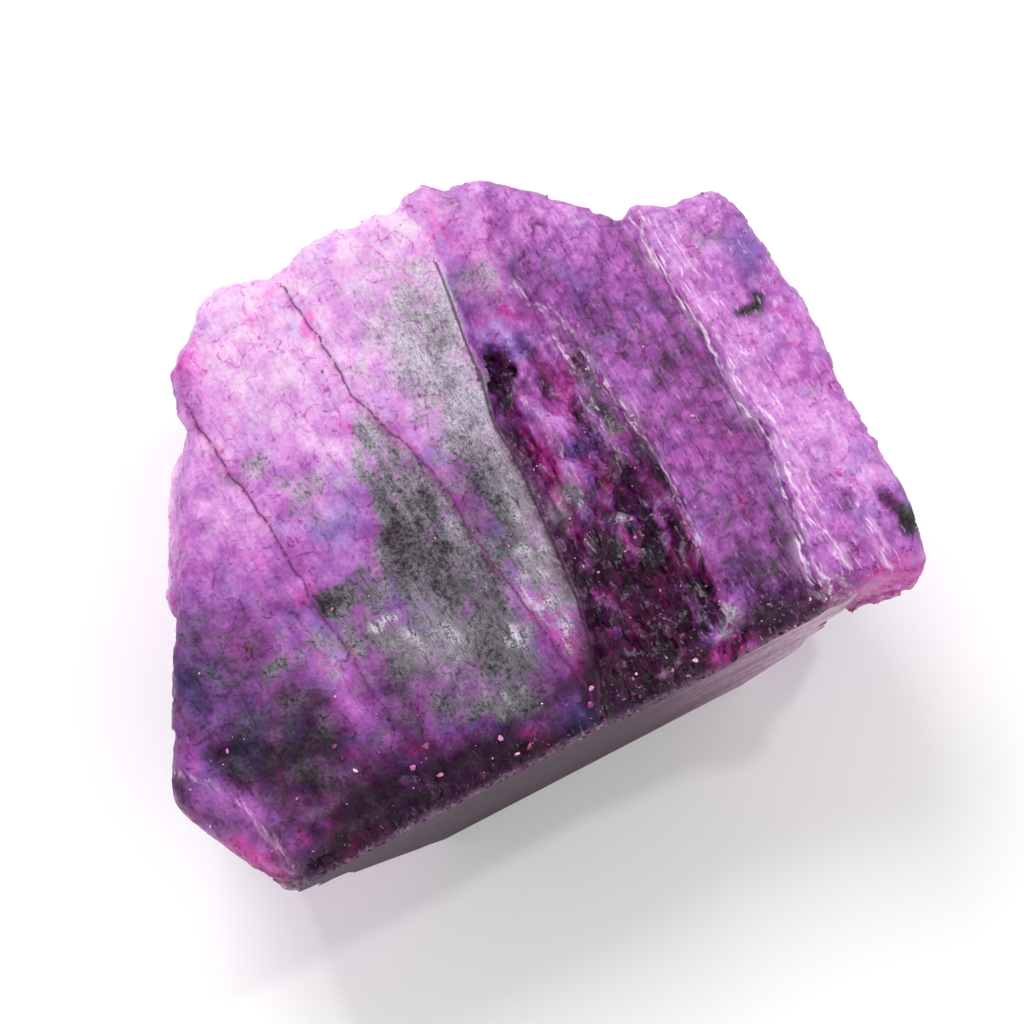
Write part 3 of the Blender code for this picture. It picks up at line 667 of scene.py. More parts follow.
BLUE = [
    (-13.7, 1.3, 3.9, 2.2, 90, 0.5), (-21.9, -3.9, 2.6, 2.2, 90, 0.4), (-21.9, -9.9, 3.3, 2.6, 90, 0.35),
    (-19.9, -14.1, 1.7, 1.4, 0, 0.25), (-2.8, 12.8, 1.8, 1.3, 0, 0.9), (-14.2, -7.4, 3.2, 1.8, -58, 0.3),
    (1.6, 6.9, 2.2, 1.0, -64, 0.4), (2.5, 0.7, 2.8, 0.5, 90, 0.6), (13.0, 19.1, 3.8, 1.6, -58, 0.45),
    (21.5, 3.6, 2.6, 1.8, -65, 0.3), (-3.2, -1.6, 3.3, 1.4, -60, 0.35), (-9.7, -3.3, 2.2, 1.7, 0, 0.5),
    (2.0, -11.5, 1.4, 1.2, 0, 0.9), (-6.4, -12.2, 4.6, 0.9, 0, 0.5), (-13.4, -13.5, 2.0, 1.3, 0, 0.3),
    (-7.1, 5.9, 2.0, 1.3, -60, 0.4), (-5.8, 15.8, 3.3, 1.1, -70, 0.4), (4.7, 15.8, 3.9, 3.3, -60, 0.15),
    (-8.4, -5.6, 2.0, 1.3, 0, 0.4), (-24.2, -9.9, 4.6, 0.8, 90, 0.3), (-4.5, 9.2, 2.0, 0.9, -60, 0.2),
    (-1.2, -6.6, 2.6, 1.1, -60, 0.4), (-19.0, -12.0, 4.6, 3.9, 0, 0.2), (-4.0, 3.0, 3.3, 1.6, -60, 0.25),
]
print("ovals of redder and bluer dye:", len(ROSE), len(BLUE))

# %% Grey dust, scuffs and chalk
# Grey dust in the hollows, the scuffed patch along the ledge, and its whitest smears.
GREY = [
    (-16.6, -14.2, 4.6, 3.0, 0, 0.32), (-20.3, -8.2, 3.9, 3.3, 0, 0.3), (-16.3, -9.9, 3.3, 2.6, 0, 0.2),
    (-18.0, 4.3, 3.6, 1.3, -10, 0.4), (-14.0, -6.9, 3.0, 1.9, -58, 0.5), (-19.2, 3.6, 4.0, 3.0, 0, 0.15),
    (-13.0, -16.8, 3.3, 2.0, 0, 0.15), (3.8, 8.9, 4.1, 0.9, -58, 0.7), (1.1, 2.6, 2.2, 1.3, -80, 0.8),
    # The ovals at (7.4, -8.7) and (12.0, -5.6) are painted highlights on glassy facets of the shoulder, not
    # dust.
    (7.4, -8.7, 2.5, 0.6, 51, 0.9), (12.0, -5.6, 1.3, 0.6, 90, 1), (14.3, -1.2, 2.6, 1.6, 0, 0.3),
    (13.0, 14.7, 0.8, 0.45, 30, 0.9), (13.5, 15.6, 0.9, 0.3, 75, 0.6), (23.5, 1.6, 1.7, 0.7, -65, 0.7),
    (-4.8, 16.8, 1.7, 1.6, 0, 0.6), (-23.2, -6.6, 3.9, 2.4, 90, 0.12), (6.1, -0.3, 2.6, 1.6, 0, 0.3),
    (-21.2, -11.8, 3.3, 2.6, 0, 0.1), (4.7, -1.3, 2.6, 2.0, 0, 0.3), (-14.2, 3.6, 1.6, 4.0, 0, 0.25),
]
SCUFFED = [
    (-7.1, 12.2, 6.2, 2.4, -68, 0.85), (-9.6, 14.8, 4.4, 3.0, -40, 0.42), (-4.1, 5.9, 4.6, 2.1, -60, 0.85),
    (-0.2, -0.7, 5.9, 1.6, -60, 0.8), (-8.4, -1.3, 4.9, 3.6, 0, 1.0), (-7.8, -6.9, 4.9, 2.4, 0, 0.85),
    (-2.8, -6.6, 3.9, 2.4, -70, 0.75), (-1.8, -10.9, 2.2, 1.3, 0, 0.8), (-6.4, -10.9, 5.3, 1.8, 0, 0.5),
    (-14.0, -3.9, 1.7, 1.2, 0, 0.8), (-3.2, 7.9, 2.6, 0.9, -70, 0.45), (-7.2, 5.6, 3.0, 1.4, -60, 0.35),
    (-9.2, -4.6, 1.6, 1.0, 0, -0.35), (1.0, -7.8, 2.6, 0.8, -66, -0.6), (-12.2, 10.8, 5.0, 2.6, -60, 0.28),
    (-3.0, 0.3, 3.0, 1.0, -60, 0.3),
]
CHALK = [
    (-8.6, -7.0, 3.4, 1.6, -8, 0.26), (-7.2, -5.6, 2.6, 1.6, -20, 0.22), (-11.6, -2.7, 1.3, 0.9, 0, 0.3),
    (-3.6, -9.8, 2.0, 1.0, 20, 0.35), (-1.9, -11.0, 1.6, 1.0, 0, 0.4), (-1.3, -3.4, 3.6, 1.0, -62, 0.4),
    (-11.0, -5.2, 1.6, 0.7, 0, 0.3), (-2.0, -6.4, 2.8, 1.1, -60, 0.34), (-5.2, 8.0, 4.2, 1.2, -66, 0.1),
    (-5.0, -3.0, 2.0, 0.8, -60, 0.25), (-8.9, 15.8, 2.5, 2.0, 0, 0.15), (1.1, 2.6, 1.4, 0.9, -80, 0.4),
    (5.2, 1.2, 1.2, 0.6, 0, 0.3),
]
print("ovals of dust:", len(GREY) + len(SCUFFED) + len(CHALK))

# %% The scuffed patch and the sheets' own dye
# The back edge of the crushed patch, which ends sharply where a thin flake came off with its dye.
SCUFF_EDGE = [
    (-12.6, 9.2), (-13.2, 6.6), (-13.1, 4.5), (-11.8, 2.5), (-11.3, 0.9), (-11.7, -0.5), (-12.6, -1.6),
    (-14.2, -2.8), (-15.6, -3.8),
]
BARE = [(-10.0, -4.3, 2.9, 2.0, -20, 1.0)]  # where the patch lost its dark powder

# How strongly each strip of the top is dyed, as (up, dye), from left to right.
LEFT_DYE = [
    (-16.0, 0.74), (-10.0, 0.68), (-4.0, 0.57), (0.0, 0.48), (3.0, 0.43), (6.0, 0.36), (12.0, 0.31),
    (20.0, 0.3),
]
TROUGH_DYE = [(-10.0, 0.84), (-2.0, 0.78), (2.0, 0.64), (10.0, 0.58), (14.0, 0.5), (20.0, 0.44)]
SATIN_DYE = [(-6.0, 0.7), (-2.0, 0.64), (5.0, 0.6), (12.0, 0.61), (18.0, 0.58), (21.0, 0.5)]
LAST_DYE = [(-4.0, 0.56), (0.0, 0.52), (4.0, 0.46), (10.0, 0.45), (18.0, 0.45)]
print("dye in the middle of the trough and left of it:", along(TROUGH_DYE, 0.0), along(LEFT_DYE, 0.0))


# %% Ovals and layers
def ovals(spots, s, t):
    """The sum of soft ovals."""
    total = np.zeros(len(s))
    for across, up, half_length, half_width, turn, strength in spots:
        turned = math.radians(turn)
        u = (s - across) * math.cos(turned) + (t - up) * math.sin(turned)
        v = (t - up) * math.cos(turned) - (s - across) * math.sin(turned)
        total += strength * np.exp(-((u / half_length) ** 2 + (v / half_width) ** 2) ** 1.4)
    return total


def set_layer(name, values):
    """Stores one number for each point of the skin, for a material to read."""
    layer = skin.data.attributes.new(name, "FLOAT", "POINT")
    layer.data.foreach_set("value", np.asarray(values, dtype=np.float32))
    print(f"{name}: from {values.min():.2f} to {values.max():.2f}, on average {values.mean():.2f}")


print("dye that the ovals add in the middle of the top:", ovals(DYE, AT_MIDDLE, AT_MIDDLE).round(2))

# %% [markdown]
# Noise of a millimetre or more is worked out here, once for each point, because it is much quicker
# than in a material, which works it out again for every ray. It wanders the ovals' edges and mottles
# the dye. Two more layers are left raw: where either crosses zero, the material draws a hair-thin vein.


# %% Noise for the dye
NET_SIZE = 1.5  # grains wide enough to show by their outlines


def grain_net(points, size):
    """1 on the boundaries of grains `size` mm wide, 0 a quarter of a millimetre off them."""
    gap = np.empty(len(points))
    for i, p in enumerate(points):
        nearest = noise.voronoi(Vector(p) / size)[0]
        gap[i] = (nearest[1] - nearest[0]) * size
    return 1.0 - smooth(gap / 0.5)


warp_s = s + 0.9 * fractal(points, 3.0, seed=51.0)
warp_t = t + 0.9 * fractal(points, 3.0, seed=57.0)
wide, mottle = fractal(points, 4.0, seed=61.0), fractal(points, 1.3, seed=63.0)
reddening, blueing = fractal(points, 1.9, seed=71.0), fractal(points, 2.3, seed=73.0)
dusting = fractal(points, 1.5, seed=79.0)
side = 1.0 - on_top
net = grain_net(points + 0.6 * np.column_stack((warp_s - s, warp_t - t, 0.0 * d)), NET_SIZE)
streaking = np.clip(1.6 * splinters(0.9, 4.0, 97.0), -1.0, 1.0)
hollow = np.clip(-chipped / 0.3, -1.0, 1.0) * broken + np.clip(-torn / 0.3, -1.0, 1.0) * trough
on_satin = smooth(satin_side / 0.5) * (1.0 - smooth(ridge_side / 0.5)) * on_top
on_last = smooth(ridge_side / 0.5) * on_top
print(f"share of points on a grain's outline: {(net > 0.5).mean():.0%}")

# %% The dye of each strip
# The sides are dyed more evenly than the top, and the foot of the shoulder is the darkest.
dye = along(LEFT_DYE, t)
for strip, strip_side in ((TROUGH_DYE, grey_side), (SATIN_DYE, satin_side), (LAST_DYE, ridge_side)):
    dye += (along(strip, t) - dye) * smooth(strip_side / 0.5)
dye += (0.5 - dye) * 0.6 * side
dye += ovals(DYE, warp_s, warp_t) * (1.0 - 0.5 * side)
dark_shoulder = shoulder ** 1.7 * smooth((20.0 - s) / 2.0) * smooth((s + 19.5) / 3.0)
dye += (0.3 - 0.13 * smooth((s - 4.0) / 4.0)) * dark_shoulder
print(f"dye of the top, on average: {dye[on_top > 0.5].mean():.2f}")

# %% The scuffed wedge and the mottling
# The wedge lies between the scuff's sharp back edge and the long crack.
inside_scuff = np.where(t > -3.8, beside(SCUFF_EDGE, s, t), left_side)
wedge = smooth(inside_scuff / 0.45) * smooth(-long_side / 0.3 + 0.5)
wedge *= stretch(t, -4.5, 9.0, ease=3.5) * on_top
wedge *= 1.0 - 0.85 * np.clip(ovals(BARE, warp_s, warp_t), 0.0, 1.0)
dye += wedge * (0.1 + 0.13 * streaking) + side * (0.16 * sheet_steps(points, s, t) - 0.04)
dye -= 0.2 * side * smooth((-s - 22.5) / 1.5) * stretch(t, -5.0, 6.5, ease=5.0) * smooth((11.0 - below) / 7.0)
dye += 0.04 + 0.045 * wide + (0.09 - 0.06 * on_satin - 0.04 * on_last - 0.05 * streaked) * mottle
dye += (0.06 + 0.09 * trough - 0.07 * streaked) * hollow + streaked * (0.02 + 0.06 * streaking)
dye += (0.02 + 0.075 * on_satin + 0.05 * on_last) * (net - 0.3) + 0.05 * on_satin * splinters(0.8, 4.0, 97.0)
set_layer("dye", np.clip(dye, 0.02, 0.93))
set_layer("blue", ovals(BLUE, warp_s, warp_t) * (1.0 - 0.4 * side) + 0.35 * blueing)
redder = (0.4 - 0.2 * on_satin - 0.15 * on_last) * reddening
set_layer("rose", ovals(ROSE, warp_s, warp_t) * (1.0 - 0.5 * side) + redder)

# %% The dust in every point
# The scuffs stay left of the ledge and off the shoulder. Chalk is whitest along the ledge's lip.
dust = ovals(SCUFFED, warp_s, warp_t) * smooth(inside_scuff / 0.4 + 0.5)
dust = np.maximum(dust, wedge * (0.85 + 0.35 * streaking)) * (1.0 - smooth(grey_side / 0.4))
dust = (dust + 0.5 * dusting) * (1.0 - 0.8 * shoulder) - 0.15 * trough
dust = (dust + ovals(GREY, warp_s, warp_t)) * on_top
dust += 0.35 * side * smooth(0.5 + fractal(points, 7.0, seed=67.0))
set_layer("dust", dust)
chalk = 0.35 * hump(grey_side + 1.5, 0.8) * stretch(t, -9.0, 4.0, ease=4.0)
chalk = (chalk + ovals(CHALK, warp_s, warp_t)) * (1.0 + 1.5 * mottle + 0.5 * streaking)
set_layer("chalk", chalk * on_top)

# %% Layers for the material's own patterns
# The ledge's wall, the kinds of surface, and the noise that the veins are drawn from.
set_layer("wall", stretch(t, -3.5, 7.0, ease=3.0) * on_top)
set_layer("broken", broken)
set_layer("satin", on_satin)
set_layer("last", on_last)
set_layer("first_vein", fractal(points, 2.6, seed=83.0))
set_layer("second_vein", fractal(points, 1.7, octaves=4, seed=89.0))

# %% The lines of the top
FAR_AWAY = 9.0


def set_line(name, line, front, back, wander=0.3):
    """How far points lie beside a line, signed, and far away where the line isn't seen."""
    away = beside(line, s, t) + wander * mottle
    hidden = 1.0 - stretch(t, front, back) * on_top
    set_layer(name, away + np.where(away < 0.0, -FAR_AWAY, FAR_AWAY) * hidden)


set_line("left_crack", LEFT_CRACK, -14.0, 9.5, wander=0.2)
set_line("long_crack", LONG_CRACK, -11.5, 17.5, wander=0.2)
set_line("ledge", GREY_LEDGE, -10.0, 19.0, wander=0.05)
set_line("ridge", BRIGHT_RIDGE, -4.5, 22.0, wander=0.35)
set_line("side_ridge", SIDE_RIDGE, -2.5, 3.5)
set_line("last_ridge", LAST_RIDGE, -2.5, 3.5)

# %% Worn edges and painted highlights
# The sheets' edges, the rib and the bevel wear pale, partly frosted crystal and partly painted highlight, and
# the arris where the saw came out wears pale too.
edges = hump(satin_side - 0.1, 0.35) * stretch(t, -1.0, 17.0)
for strength, line, width in ((1.0, SPLINTER_STEP, 0.3), (0.4, ROUND_RIB, 0.3), (0.5, LEFT_BEVEL, 0.25)):
    edges += strength * hump(line_distance(line, s, t), width)
set_layer("edges", edges * on_top)
set_layer("arris", hump(sawn_gap, 0.3) * smooth((8.0 - below) / 3.0))

# %% [markdown]
# ## Adding nodes
#
# One function adds a node with its settings and links. A wire is a node's output, and plain arithmetic
# on wires adds the Math nodes, so a material reads like the sums it stands for. Colours are given as
# sRGB hex and turned linear by one function. A finish is built as a painter would: a first colour,
# and then coats over it, each with the share that it covers.


# %% Nodes and wires
class Wire:
    """An output of a node, which can be added, multiplied and so on like a number."""

    def __init__(self, tree, socket):
        self.tree = tree
        self.socket = socket

    def other(self, output):
        """Another output of the same node."""
        return Wire(self.tree, self.socket.node.outputs[output])

    def __add__(self, other):
        return put(self.tree, "ShaderNodeMath", {0: self, 1: other}, operation="ADD")

    def __sub__(self, other):
        return put(self.tree, "ShaderNodeMath", {0: self, 1: other}, operation="SUBTRACT")

    def __mul__(self, other):
        return put(self.tree, "ShaderNodeMath", {0: self, 1: other}, operation="MULTIPLY")

    def __abs__(self):
        return put(self.tree, "ShaderNodeMath", {0: self}, operation="ABSOLUTE")

    def at_most(self, limit):
        return put(self.tree, "ShaderNodeMath", {0: self, 1: limit}, operation="MINIMUM")

    def rise(self, low, high):
        """0 below `low`, 1 above `high`, and an even S between."""
        ends = {"Value": self, "From Min": low, "From Max": high}
        return put(self.tree, "ShaderNodeMapRange", ends, interpolation_type="SMOOTHSTEP")

    def near(self, width):
        """1 where this is 0, falling to 0 where it is `width` to either side."""
        return abs(self).rise(width, 0.3 * width)


# %% Colours
def linear(hex_colour):
    """An sRGB hex colour as the linear colour that the renderer works in."""
    parts = [int(hex_colour[i : i + 2], 16) / 255.0 for i in (1, 3, 5)]
    return tuple(c / 12.92 if c <= 0.04045 else ((c + 0.055) / 1.055) ** 2.4 for c in parts) + (1.0,)


print("mid-grey in linear light:", round(linear("#808080")[0], 3))


# %% Putting nodes in
def fill(tree, node, inputs):
    """Fills a node's inputs with values, hex colours or wires."""
    for key, value in inputs.items():
        if isinstance(value, Wire):
            tree.links.new(value.socket, node.inputs[key])
        else:
            node.inputs[key].default_value = linear(value) if isinstance(value, str) else value


def put(tree, kind, inputs=None, output=0, stops=(), **settings):
    """Adds a node with its settings, links and colour stops, as (place, colour), and gives one output."""
    node = tree.nodes.new(kind)
    for name, value in settings.items():
        setattr(node, name, value)
    fill(tree, node, inputs or {})
    if stops:
        shades = node.color_ramp.elements
        while len(shades) < len(stops):
            shades.new(0.5)
        for shade, (place, colour) in zip(shades, stops):
            shade.position = place
            shade.color = linear(colour)
    return Wire(tree, node.outputs[output])


# %% Coats of colour
def coated(colour, coats):
    """Lays coats over a colour: each is (share, colour), or (share, stops, the wire they follow)."""
    for share, coat, *followed in coats:
        if followed:
            coat = put(share.tree, "ShaderNodeValToRGB", {"Fac": followed[0]}, stops=coat)
        inputs = {0: share, 6: colour, 7: coat}
        colour = put(share.tree, "ShaderNodeMix", inputs, output=2, data_type="RGBA", clamp_factor=True)
    return colour


# %% Materials and their noise
def new_material(name):
    """A new material, its node tree and its shader."""
    material = bpy.data.materials.new(name)
    material.use_nodes = True
    return material, material.node_tree, material.node_tree.nodes["Principled BSDF"]


def grain_of(tree):
    """The place on the stone in mm, and a noise that reads it."""
    place = put(tree, "ShaderNodeTexCoord", output="Object")
    place = put(tree, "ShaderNodeVectorMath", {0: place, "Scale": 1.0 / MM}, operation="SCALE")

    def clouds(size, detail=3.0, where=place):
        """Even noise from 0 to 1 whose largest forms are `size` mm."""
        given = {"Vector": where, "Scale": 1.0 / size, "Detail": detail}
        return put(tree, "ShaderNodeTexNoise", given)

    return place, clouds


# %% [markdown]
# ## Broken purple rock
#
# The real surface is interlocked crystal grains with a waxy lustre. Each grain took the dye a little
# differently, and where the rock broke, each one shows a small flat face of its own, which is glassy
# and flashes. So one cell pattern gives each grain both its shade and its tilt. Dye also gathers in
# hair-thin veins. Crushed powder scatters light and reads as dull grey-white with black specks.

# %% Colours of the dyed rock
DYE_RAMP = [
    (0.0, "#FAEAF4"), (0.14, "#ECD7E4"), (0.28, "#DCBAD7"), (0.42, "#C688C7"), (0.54, "#A65AAA"),
    (0.66, "#803F87"), (0.79, "#512252"), (0.9, "#2F0E2D"), (1.0, "#190717"),
]
BLUE_RAMP = [
    (0.0, "#E6DDF4"), (0.25, "#BDA6DC"), (0.45, "#9077BC"), (0.62, "#685097"), (0.8, "#3A2960"),
    (1.0, "#130C22"),
]
ROSE_RAMP = [
    (0.0, "#FAC9E4"), (0.3, "#E783D0"), (0.5, "#C648A6"), (0.68, "#932372"), (0.84, "#551140"),
    (1.0, "#1F0517"),
]
GREY_RAMP = [
    (0.0, "#F3EFF3"), (0.25, "#CAC2CC"), (0.42, "#A39DA6"), (0.56, "#7B797F"), (0.7, "#565957"),
    (0.85, "#303031"), (1.0, "#131112"),
]
# The ledge's wall: torn rubble, its darkest shades partly painted shade.
RUBBLE_AND_SHADE_RAMP = [(0.36, "#1F0E1C"), (0.5, "#4C2C46"), (0.64, "#94758E")]
print("shades of the dye:", len(DYE_RAMP))


# %% Patterns of the grain
GRAIN_SIZE, GLASSY_SIZE = 0.8, 0.35
GRAIN_LEAN = math.radians(-30.0)  # turns the patterns to run along the rock's grain


def rock_patterns(tree):
    """The wires that the colour and gloss of the broken rock share. The steps below take them as `p`."""
    place, clouds = grain_of(tree)

    def layer(name):
        return put(tree, "ShaderNodeAttribute", output="Fac", attribute_name=name)

    def drawn_out(thin):
        """Places squeezed along the grain, so that a pattern there is long and thin."""
        turned = {"Vector": place, "Rotation": (0.0, 0.0, GRAIN_LEAN)}
        squeezed = {"Vector": put(tree, "ShaderNodeMapping", turned), "Scale": (1.0, thin, 0.6)}
        return put(tree, "ShaderNodeMapping", squeezed)

    def grains(size):
        """Three numbers for each grain of the rock, different in every grain."""
        return put(tree, "ShaderNodeTexVoronoi", {"Vector": wandering, "Scale": 1.0 / size}, output="Color")

    def first_part(colour):
        return put(tree, "ShaderNodeSeparateColor", {"Color": colour})

    streaks = clouds(0.5, 4.0, where=drawn_out(0.12))
    wander = put(tree, "ShaderNodeVectorMath", {0: streaks.other("Color"), "Scale": 0.5}, operation="SCALE")
    wandering = put(tree, "ShaderNodeVectorMath", {0: drawn_out(0.55), 1: wander}, operation="ADD")
    coarse, glassy = grains(GRAIN_SIZE), grains(GLASSY_SIZE)
    shade = first_part(coarse)
    given = {name: layer(name) for name in ("dust", "chalk", "broken", "satin", "last")}
    # Rock flour is finer than a tenth of a millimetre. Its specks are drawn at 0.14 mm, to show at all.
    return SimpleNamespace(
        **given, tree=tree, layer=layer, grit=clouds(0.3, 3.0), fine=clouds(0.14, 1.0), streaks=streaks,
        strokes=clouds(0.2, 2.0, where=drawn_out(0.2)), coarse=coarse, glassy=glassy, shade=shade,
        warmth=shade.other("Green"), glint=first_part(glassy),
    )


print("grains of the rock, in mm:", GRAIN_SIZE, "and for the glassy faces", GLASSY_SIZE)


# %% Dye in the rock
def dyed(p):
    """How strong the dye is, and the colour that it gives, with its veins and its bluer and redder parts."""
    dye = p.layer("dye") + (p.shade - 0.5) * (p.broken * 0.05 + 0.05)
    dye = dye + (p.glint - 0.5) * (p.broken * 0.05 + 0.01)
    dye = dye + (p.streaks - 0.5) * (p.broken * 0.25 + p.satin * 0.12 + 0.1) + (p.grit - 0.5) * 0.2
    veins = p.layer("first_vein").near(0.045) + p.layer("second_vein").near(0.04) * 0.7
    veins = veins * (p.grit * 0.6 + p.streaks * 0.4).rise(0.42, 0.58)
    dye = dye + veins * 0.11 + (p.strokes - 0.5) * p.broken * 0.3
    blue = p.layer("blue") + (p.warmth - 0.5) * 0.35 + 0.1
    rose = p.layer("rose") - (p.warmth - 0.5) * 0.3 + p.broken * 0.25 + veins * 0.45
    return dye, coated(put(p.tree, "ShaderNodeValToRGB", {"Fac": dye}, stops=DYE_RAMP), [
        (blue.rise(0.0, 1.0) * 0.85, BLUE_RAMP, dye),
        (rose.rise(0.1, 0.9) * 0.9, ROSE_RAMP, dye),
    ])


# %% Crushed powder, strokes and painted glints
def dusted(p, dye, colour):
    """The dust, the chalk, and the colour with both, black specks, dark strokes, and pale strokes that are
    partly painted glints.
    """
    dust = (p.dust * (p.grit + 0.5) + (p.grit - 0.5) * 0.5).rise(0.1, 0.9) * 0.9
    crushed = dye + (p.grit - 0.5) * 0.35 + (p.fine - 0.5) * 0.5 + (p.strokes - 0.5) * 0.5
    powder = p.fine * 0.3 + p.grit * 0.2 + p.strokes * 0.25 + p.streaks * 0.25 + p.chalk * 0.05
    powder = powder.rise(0.45, 0.6) * p.chalk.rise(0.05, 0.9) * 0.85
    black = (p.fine * 0.6 + p.grit * 0.4).rise(0.41, 0.35) * (p.dust * 0.6 + p.chalk * 0.6).at_most(0.9)
    dark = p.strokes.rise(0.43, 0.35) * (p.dust * 0.4 + p.satin * 0.2 + 0.25).at_most(0.8)
    # Pale strokes: on broken rock they are painted glints, and on the satin and last sheets partly pale grain
    # and partly painted sheen.
    pale = p.broken * (p.grit * 0.6 - 0.2) + p.last * 0.25 + p.satin * 0.12
    return dust, powder, coated(colour, [
        (dust, GREY_RAMP, crushed),
        (powder, "#DDD7E1"),
        (black, "#1D181E"),
        (dark, DYE_RAMP, dye + 0.22),
        (p.strokes.rise(0.62, 0.7) * pale, "#F1DFF2"),
    ])


# %% Ridges and worn edges, with painted shade and highlights
def edged(p, dye, colour):
    """The painted shade along the ridges' left foot, their frosted band, and their white lines and the other
    worn edges: frosted crystal that is partly painted highlight.
    """
    ridge, edges = p.layer("ridge"), p.layer("edges")
    small = abs(p.layer("side_ridge").at_most(abs(p.layer("last_ridge"))))
    # A pale frosted band around the ridges and worn edges, partly painted sheen.
    frost_and_sheen = ((ridge - 0.6).near(2.0) * 0.55 + small.near(0.6) * 0.7 + edges * 0.7).at_most(1.0)
    frost_and_sheen = frost_and_sheen * (p.streaks * 0.75 + p.strokes * 0.25).rise(0.44, 0.58)
    # White lines along the ridge crests and worn edges: frosted crystal, partly painted highlight where the
    # edges face the light.
    bent = (p.streaks - 0.5) * 1.6
    crests_and_highlights = (ridge + bent - 0.1).near(0.14) + (ridge + bent - 0.9).near(0.12)
    crests_and_highlights = crests_and_highlights + (small + bent * 0.2).near(0.12) + (ridge + bent * 1.6 - 2.1).near(0.1) * 0.6
    crests_and_highlights = crests_and_highlights * (p.strokes * 0.6 + p.streaks * 0.4).rise(0.45, 0.57)
    crests_and_highlights = crests_and_highlights + edges * p.strokes.rise(0.56, 0.64)
    return coated(colour, [
        # Painted shade: a darker band along the left foot of the bright ridge.
        ((ridge + 0.8).near(0.7) * p.streaks.rise(0.4, 0.55) * 0.45, DYE_RAMP, dye + 0.18),
        (frost_and_sheen * 0.55, "#E3BCE6"),
        (crests_and_highlights.at_most(1.0) * 0.6, "#F4E2F5"),
    ])


# %% The ledge's wall and its painted shade
def walled(p, colour):
    """The torn wall below the grey ledge, darkened partly as painted shade, the painted shade lines above and
    below it, and its pale lip.
    """
    ledge, wall = p.layer("ledge"), p.layer("wall")
    # Painted shade: dark lines at the ledge's edge and at the foot of its wall, which faces away from the
    # light.
    foot = (ledge - 0.95).near(0.3) * wall * 0.7 + (ledge + 0.1).near(0.16) * 0.75
    lip = (ledge + 0.55).near(0.35) * p.grit.rise(0.4, 0.6) * wall
    return coated(colour, [
        # The wall's rubble colour, dark partly as painted shade.
        ((ledge - 0.1).near(1.0) * wall * 0.85, RUBBLE_AND_SHADE_RAMP, p.streaks * 0.4 + p.grit * 0.6),
        (foot.at_most(0.9), "#1E0D1C"),
        (lip * 0.1, "#CFCBCB"),
    ])


# %% Cracks
def cracked(p, dye, colour):
    """Hair-thin cracks with a redder stain along them, and the worn arris above the saw cut."""
    left, long = p.layer("left_crack"), p.layer("long_crack")
    stains = (left.near(0.55) * 0.3 + long.near(0.7) * 0.35) * p.streaks.rise(0.4, 0.6)
    cracks = (left.near(0.28) + long.near(0.28)) * 0.3
    cracks = cracks + (left.near(0.1) + long.near(0.1)) * p.grit.rise(0.3, 0.48) * 0.6
    return coated(colour, [
        (stains, ROSE_RAMP, dye + 0.12),
        (cracks, "#5A2558"),
        (p.layer("arris") * p.grit.rise(0.3, 0.6) * 0.45, "#A680A2"),
    ])


# %% Facets
def faceted(p):
    """Which way the surface faces: tilted a little differently in every grain, and bumped by the grit."""
    normal = put(p.tree, "ShaderNodeNewGeometry", output="Normal")
    amounts = (p.coarse, p.broken * 0.4 + 0.06), (p.glassy, p.broken * 0.3 + p.last * 0.1 + 0.05)
    for grain, amount in amounts:
        tilt = put(p.tree, "ShaderNodeVectorMath", {0: grain, 1: (0.5, 0.5, 0.5)}, operation="SUBTRACT")
        tilt = put(p.tree, "ShaderNodeVectorMath", {0: tilt, "Scale": amount}, operation="SCALE")
        normal = put(p.tree, "ShaderNodeVectorMath", {0: normal, 1: tilt}, operation="ADD")
    normal = put(p.tree, "ShaderNodeVectorMath", {0: normal}, operation="NORMALIZE")
    height = (p.grit - 0.5) * 0.05 + (p.streaks - 0.5) * 0.12
    bump = {"Strength": 0.8, "Distance": MM, "Height": height, "Normal": normal}
    return put(p.tree, "ShaderNodeBump", bump)


# %% The material of the broken faces
def broken_rock():
    """Waxy: torn faces are glossier, powder is dull, and every glassy grain has a gloss of its own."""
    material, tree, shader = new_material("broken_purple_rock")
    p = rock_patterns(tree)
    dye, colour = dyed(p)
    dust, powder, colour = dusted(p, dye, colour)
    colour = cracked(p, dye, walled(p, edged(p, dye, colour)))
    rough = p.broken * -0.2 + 0.4 + dust * 0.3 + powder * 0.2 + (p.glint - 0.5) * (p.broken * 0.16 + 0.1)
    fill(tree, shader, {"Base Color": colour, "Roughness": rough, "Normal": faceted(p)})
    fill(tree, shader, {"IOR": 1.6, "Specular IOR Level": 0.17})
    return material


skin.data.materials.clear()
skin.data.materials.append(broken_rock())
print("nodes of the broken rock:", len(skin.data.materials[0].node_tree.nodes))

# %% [markdown]
# ## Sawn rock
#
# A diamond saw leaves a flat, matt face: the same grains, cut through and dulled, in a grey mauve with
# soft bands where it crossed the sheets, and very fine parallel saw lines. A painted sheen lightens it
# towards its right end.


